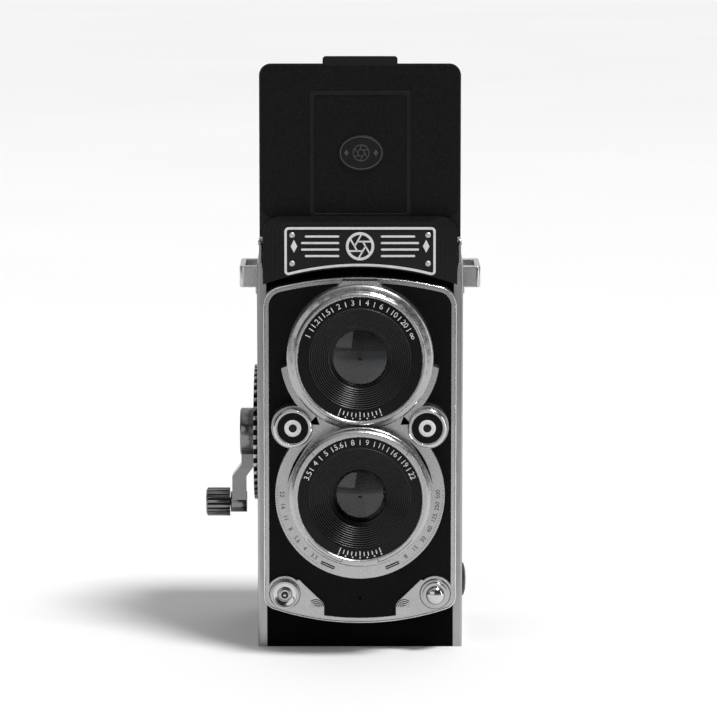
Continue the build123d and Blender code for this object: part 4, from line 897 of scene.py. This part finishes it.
def corner_pieces():
    """Slots in the cover, dark with painted shade and crossed by bars, the release button's cap, and the
    flash socket's cup and pin.
    """
    for side in (-1, 1):
        turn = math.radians(SLOT_TURN * side)
        x, z = side * SLOT_X, TAKING_Z - SLOT_DROP
        along = Vector((math.cos(turn), math.sin(turn)))
        across = Vector((-along.y, along.x))

        def turned_bar(half_length, half_width):
            length, width = along * half_length, across * half_width
            corners = (-length - width, length - width, length + width, width - length)
            return [tuple(Vector((x, z)) + corner) for corner in corners]

        end = "left" if side < 0 else "right"
        # Painted shade: a black sheet in each slot.
        sheet_y("slot_" + end, [turned_bar(2.625, 0.598)], COVER_FRONT - 0.03, 0.03, *PAINTED_SHADE)
        bar = [turned_bar(2.5, 0.13)]
        sheet_y("slot_bar_" + end, bar, COVER_FRONT - 0.12, 0.1, "front_standard", "satin_chrome", SATIN)
    cap_back, cap_r, cap_rise = BUTTON_LOW.y + 2.0, 3.33, 2.1
    turns = [math.radians(90 - 7.5 * i) for i in range(13)]
    dome = [(cap_r * math.cos(t), cap_back - cap_rise * math.sin(t)) for t in turns]
    dome.append((0, cap_back))
    lathe_y("button_cap", dome, SOCKET_X, SOCKET_Z, "release_button", CHROME)
    y = edges_of("sync_socket")[0].y
    x, z = -SOCKET_X, SOCKET_Z
    cup = [(2.3, y + 2.5), (2.3, y + 1.9), (4.0, y + 0.9), (4.3, y + 0.9), (4.3, y + 2.5)]
    lathe_y("socket_cup", cup, x, z, "front_standard", CHROME)
    well = [(0.78, y + 0.78), (0.78, y + 0.72), (1.3, y + 0.72), (1.35, y + 0.78)]
    lathe_y("socket_ring", well, x, z, "front_standard", MOULDED, 48)
    tip = [(0, y - 0.1), (0.35, y), (0.62, y + 0.3), (0.72, y + 0.7), (0.72, y + 1.7), (0, y + 1.7)]
    lathe_y("socket_pin", tip, x, z, "front_standard", CHROME, 32)


def dial_pieces():
    """Figures, ticks and painted shade in the grooves of the focusing dial."""
    face = DIAL_LOW.x
    end_angle, figure_r = 75, 21.0
    tick_low, tick_fifth, tick_high = 23.0, 22.6, 24.2  # radii; every fifth tick is longer
    rows, marks = [], []
    texts = ("\u221e", "20", "10", "7", "5", "4", "3", "2.5", "2", "1.5", "1.2", "1")
    for i, text in enumerate(texts):
        angle = -end_angle + 2 * end_angle * i / (len(texts) - 1)
        y, z = around(angle, figure_r, 0, CRANK_Z)
        rows.append((text, face - 0.02, -y, z, angle))
    figures("dial_figures", rows, 2.4, 0.06, ENGRAVED, "focus_dial", "left")
    for i in range(56):
        low = tick_fifth if i % 5 == 0 else tick_low
        marks.append(tick(-82.5 + 3.0 * i, low, tick_high, 0.22, 0, CRANK_Z))
    curve_side("dial_ticks", marks, face - 0.04, 0.05, "focus_dial", "black_anodised", ENGRAVED)
    # Painted shade: thin black bars at the bottom of each groove.
    groove = (face + 0.02, face + 1.68, 1.03, 24.6, 24.75)
    look = ("focus_dial", "black_anodised", BLACK_FLAT_AND_SHADE)
    ring_bars("dial_groove_shade", DIAL_GROOVES, groove, 0.0, CRANK_Z, *look)


def crank_pieces():
    """Painted shade in the crank knob's flutes, and the slotted screw in the crank's hub."""
    knob_low, knob_high = edges_of("crank_knob")
    knob_z = (knob_low.z + knob_high.z) / 2
    screw_r, slot_half, slot_half_width = 3.4, 2.7, 0.4
    # Painted shade: thin black bars at the bottom of each flute.
    flute = (knob_low.x + 0.5, knob_high.x - 0.05, 0.4, 5.0, 5.16)
    look = ("crank_knob", "black_anodised", BLACK_FLAT_AND_SHADE)
    ring_bars("knob_flute_shade", KNOB_FLUTES, flute, 0.0, knob_z, *look)
    low, high = CRANK_Z - slot_half_width, CRANK_Z + slot_half_width
    disc = [circle(screw_r, 0, CRANK_Z), rounded_rectangle(-slot_half, slot_half, low, high, 0.38)]
    curve_side("crank_screw", disc, HUB_FACE - 0.1, 0.3, "crank", "bright_chrome", CHROME, 0.08)


def door_pieces():
    """Leatherette on the back door, with a notch at its lower edge in which the latch slides."""
    half, low, high = 34.4, 4.6, 135.0
    notch_half, notch_top = 10.2, 17.0
    outline = rounded_rectangle(-half, half, low, high, 3.0)
    corner_points = len(outline) // 4
    notch = [(-notch_half, low), (-notch_half, notch_top), (notch_half, notch_top), (notch_half, low)]
    before_last_corner = 3 * corner_points
    outline[before_last_corner:before_last_corner] = notch
    sheet_y("door_covering", [outline], DOOR_BACK - 0.05, 0.4, "back_door", "leatherette", LEATHER, 0.15)


def screen_pieces():
    """Grid lines etched on the focusing screen."""
    half, middle_y, line_half, rise = 27.8, -1.0, 0.08, 0.03
    levels = (SCREEN_TOP, SCREEN_TOP + rise)
    lines = []
    for at in (-20, -10, 0, 10, 20):
        y = middle_y + at
        lines.append((at - line_half, at + line_half, -half, half + 2 * middle_y, *levels))
        lines.append((-half, half, y - line_half, y + line_half, *levels))
    bars("screen_grid", lines, "camera_body", ENGRAVED)


# ---- stage, light and camera ---------------------------------------------------------------------
# Lengths in this section are in metres.
TARGET = (-0.00056, -0.036, 0.1085)  # what the camera and the panels point at
CAMERA_TILT, CAMERA_DISTANCE = math.radians(8.1), 1.5
FOCAL_LENGTH, SENSOR = 203.9, 36  # millimetres
SEEN_WORLD = 0.93
# Brightness of the unseen world from straight down (0) to straight up (1), with what its rear half adds.
WORLD_STOPS = ((0.0, 0.3), (0.12, 0.2), (0.25, 0.04), (0.62, 0.04), (0.85, 0.56), (1.0, 0.8))
WORLD_REAR = (0.1, 0.9, 0.8)  # from and to, along +Y, and how much it adds
FLOOR_HALF = 6.0
FLOOR_DARK = 0.2
# Stretches of the floor along Y, from and to, over which it fades, and by how much. The camera doesn't see
# them: the polished faces mirror the front one.
FLOOR_FADES = ((0.6, 3.2, 0.1), (-0.33, -0.88, 0.9))
SUN_WAY, SUN_POWER, SUN_ANGLE = (-0.36, 0.31, -0.95), 2.6, math.radians(14)


def smooth_ramp(tree, value, start, end, most):
    """A value's smooth rise from 0 at start to most at end."""
    ramp = node(tree, "ShaderNodeMapRange", interpolation_type="SMOOTHSTEP")
    ramp.inputs["From Min"].default_value, ramp.inputs["From Max"].default_value = start, end
    ramp.inputs["To Min"].default_value, ramp.inputs["To Max"].default_value = 0.0, most
    tree.links.new(value, ramp.inputs["Value"])
    return ramp.outputs["Result"]


def area_light(name, size_x, size_y, power, place_m):
    """A panel of light that points at the target."""
    lamp = bpy.data.lights.new(name, "AREA")
    lamp.shape = "RECTANGLE"
    lamp.size, lamp.size_y = size_x, size_y
    lamp.energy = power
    obj = bpy.data.objects.new(name, lamp)
    bpy.context.scene.collection.objects.link(obj)
    obj.location = place_m
    obj.rotation_mode = "QUATERNION"
    obj.rotation_quaternion = (Vector(TARGET) - Vector(place_m)).to_track_quat("-Z", "Y")


def studio_world():
    """Plain pale world for the camera, and a graded one that only lights and reflects."""
    world = bpy.data.worlds.new("studio")
    world.use_nodes = True
    bpy.context.scene.world = world
    tree = world.node_tree
    tree.nodes.clear()
    out = node(tree, "ShaderNodeOutputWorld")
    seen = node(tree, "ShaderNodeBackground", Strength=1.0)
    seen.inputs["Color"].default_value = (SEEN_WORLD, SEEN_WORLD, SEEN_WORLD, 1)
    unseen = node(tree, "ShaderNodeBackground", Strength=1.0)
    coords = node(tree, "ShaderNodeTexCoord")
    split = node(tree, "ShaderNodeSeparateXYZ")
    tree.links.new(coords.outputs["Generated"], split.inputs["Vector"])
    height = node(tree, "ShaderNodeValToRGB")
    height.color_ramp.interpolation = "EASE"
    while len(height.color_ramp.elements) < len(WORLD_STOPS):
        height.color_ramp.elements.new(0.5)
    for stop, (at, tone) in zip(height.color_ramp.elements, WORLD_STOPS):
        stop.position, stop.color = at, (tone, tone, tone, 1)
    tree.links.new(split.outputs["Z"], height.inputs["Fac"])
    start, end, most = WORLD_REAR
    both = node(tree, "ShaderNodeMath", operation="ADD")
    tree.links.new(height.outputs["Color"], both.inputs[0])
    tree.links.new(smooth_ramp(tree, split.outputs["Y"], start, end, most), both.inputs[1])
    tree.links.new(both.outputs["Value"], unseen.inputs["Strength"])
    rays = node(tree, "ShaderNodeLightPath")
    mix = node(tree, "ShaderNodeMixShader")
    tree.links.new(rays.outputs["Is Camera Ray"], mix.inputs["Fac"])
    tree.links.new(unseen.outputs["Background"], mix.inputs[1])
    tree.links.new(seen.outputs["Background"], mix.inputs[2])
    tree.links.new(mix.outputs["Shader"], out.inputs["Surface"])


def studio_floor():
    """Pale matt floor, darker far in front of the object and far behind it."""
    mesh = bpy.data.meshes.new("studio_floor")
    corners = [(x * FLOOR_HALF, y * FLOOR_HALF, 0) for x, y in ((-1, -1), (1, -1), (1, 1), (-1, 1))]
    mesh.from_pydata(corners, [], [(0, 1, 2, 3)])
    floor = bpy.data.objects.new("studio_floor", mesh)
    bpy.context.scene.collection.objects.link(floor)
    mat, tree, shader = blank("pale_floor")
    shader.inputs["Roughness"].default_value = 0.75
    shader.inputs["Specular IOR Level"].default_value = 0.2
    worn = two_tones(tree, noise(tree, 3, 2), grey(0.88), grey(0.9))
    split = node(tree, "ShaderNodeSeparateXYZ")
    tree.links.new(place(tree), split.inputs["Vector"])
    either = node(tree, "ShaderNodeMath", operation="MAXIMUM")
    for socket, (start, end, most) in zip(either.inputs, FLOOR_FADES):
        tree.links.new(smooth_ramp(tree, split.outputs["Y"], start, end, most), socket)
    fade = node(tree, "ShaderNodeMix", data_type="RGBA")
    tree.links.new(either.outputs["Value"], fade.inputs["Factor"])
    tree.links.new(worn, fade.inputs[6])
    fade.inputs[7].default_value = (*grey(FLOOR_DARK), 1)
    tree.links.new(fade.outputs[2], shader.inputs["Base Color"])
    mesh.materials.append(mat)


def studio_lights():
    """A soft sun from the front right, a large panel on the left and a small one on the right."""
    sun = bpy.data.lights.new("key", "SUN")
    sun.energy = SUN_POWER
    sun.angle = SUN_ANGLE
    key = bpy.data.objects.new("key", sun)
    bpy.context.scene.collection.objects.link(key)
    key.rotation_mode = "QUATERNION"
    key.rotation_quaternion = Vector(SUN_WAY).to_track_quat("-Z", "Y")
    area_light("panel_left", 2.3, 1.3, 9, (-1.35, -2.2, 0.88))
    area_light("panel_right", 0.3, 0.9, 2.5, (1.2, -0.5, 0.35))


def studio_camera():
    """A long lens straight in front, a little above the object and looking down at it."""
    scene = bpy.context.scene
    camera = bpy.data.objects.new("camera", bpy.data.cameras.new("camera"))
    scene.collection.objects.link(camera)
    back = Vector((0, -math.cos(CAMERA_TILT), math.sin(CAMERA_TILT)))
    camera.location = Vector(TARGET) + back * CAMERA_DISTANCE
    camera.rotation_euler = (math.radians(90) - CAMERA_TILT, 0, 0)
    camera.data.lens = FOCAL_LENGTH
    camera.data.sensor_width = SENSOR
    camera.data.clip_start, camera.data.clip_end = 0.05, 40
    scene.camera = camera


def studio():
    """The whole set: a pale floor and a plain backdrop, soft light and the photograph's viewpoint."""
    view = bpy.context.scene.view_settings
    view.view_transform, view.look = "Standard", "None"
    studio_world()
    studio_floor()
    studio_lights()
    studio_camera()


dress_nodes()
nameplate_pieces()
hood_pieces()
lens_pieces()
rib_pieces()
bezel_pieces()
wheel_pieces()
board_pieces()
corner_pieces()
dial_pieces()
crank_pieces()
door_pieces()
screen_pieces()
studio()
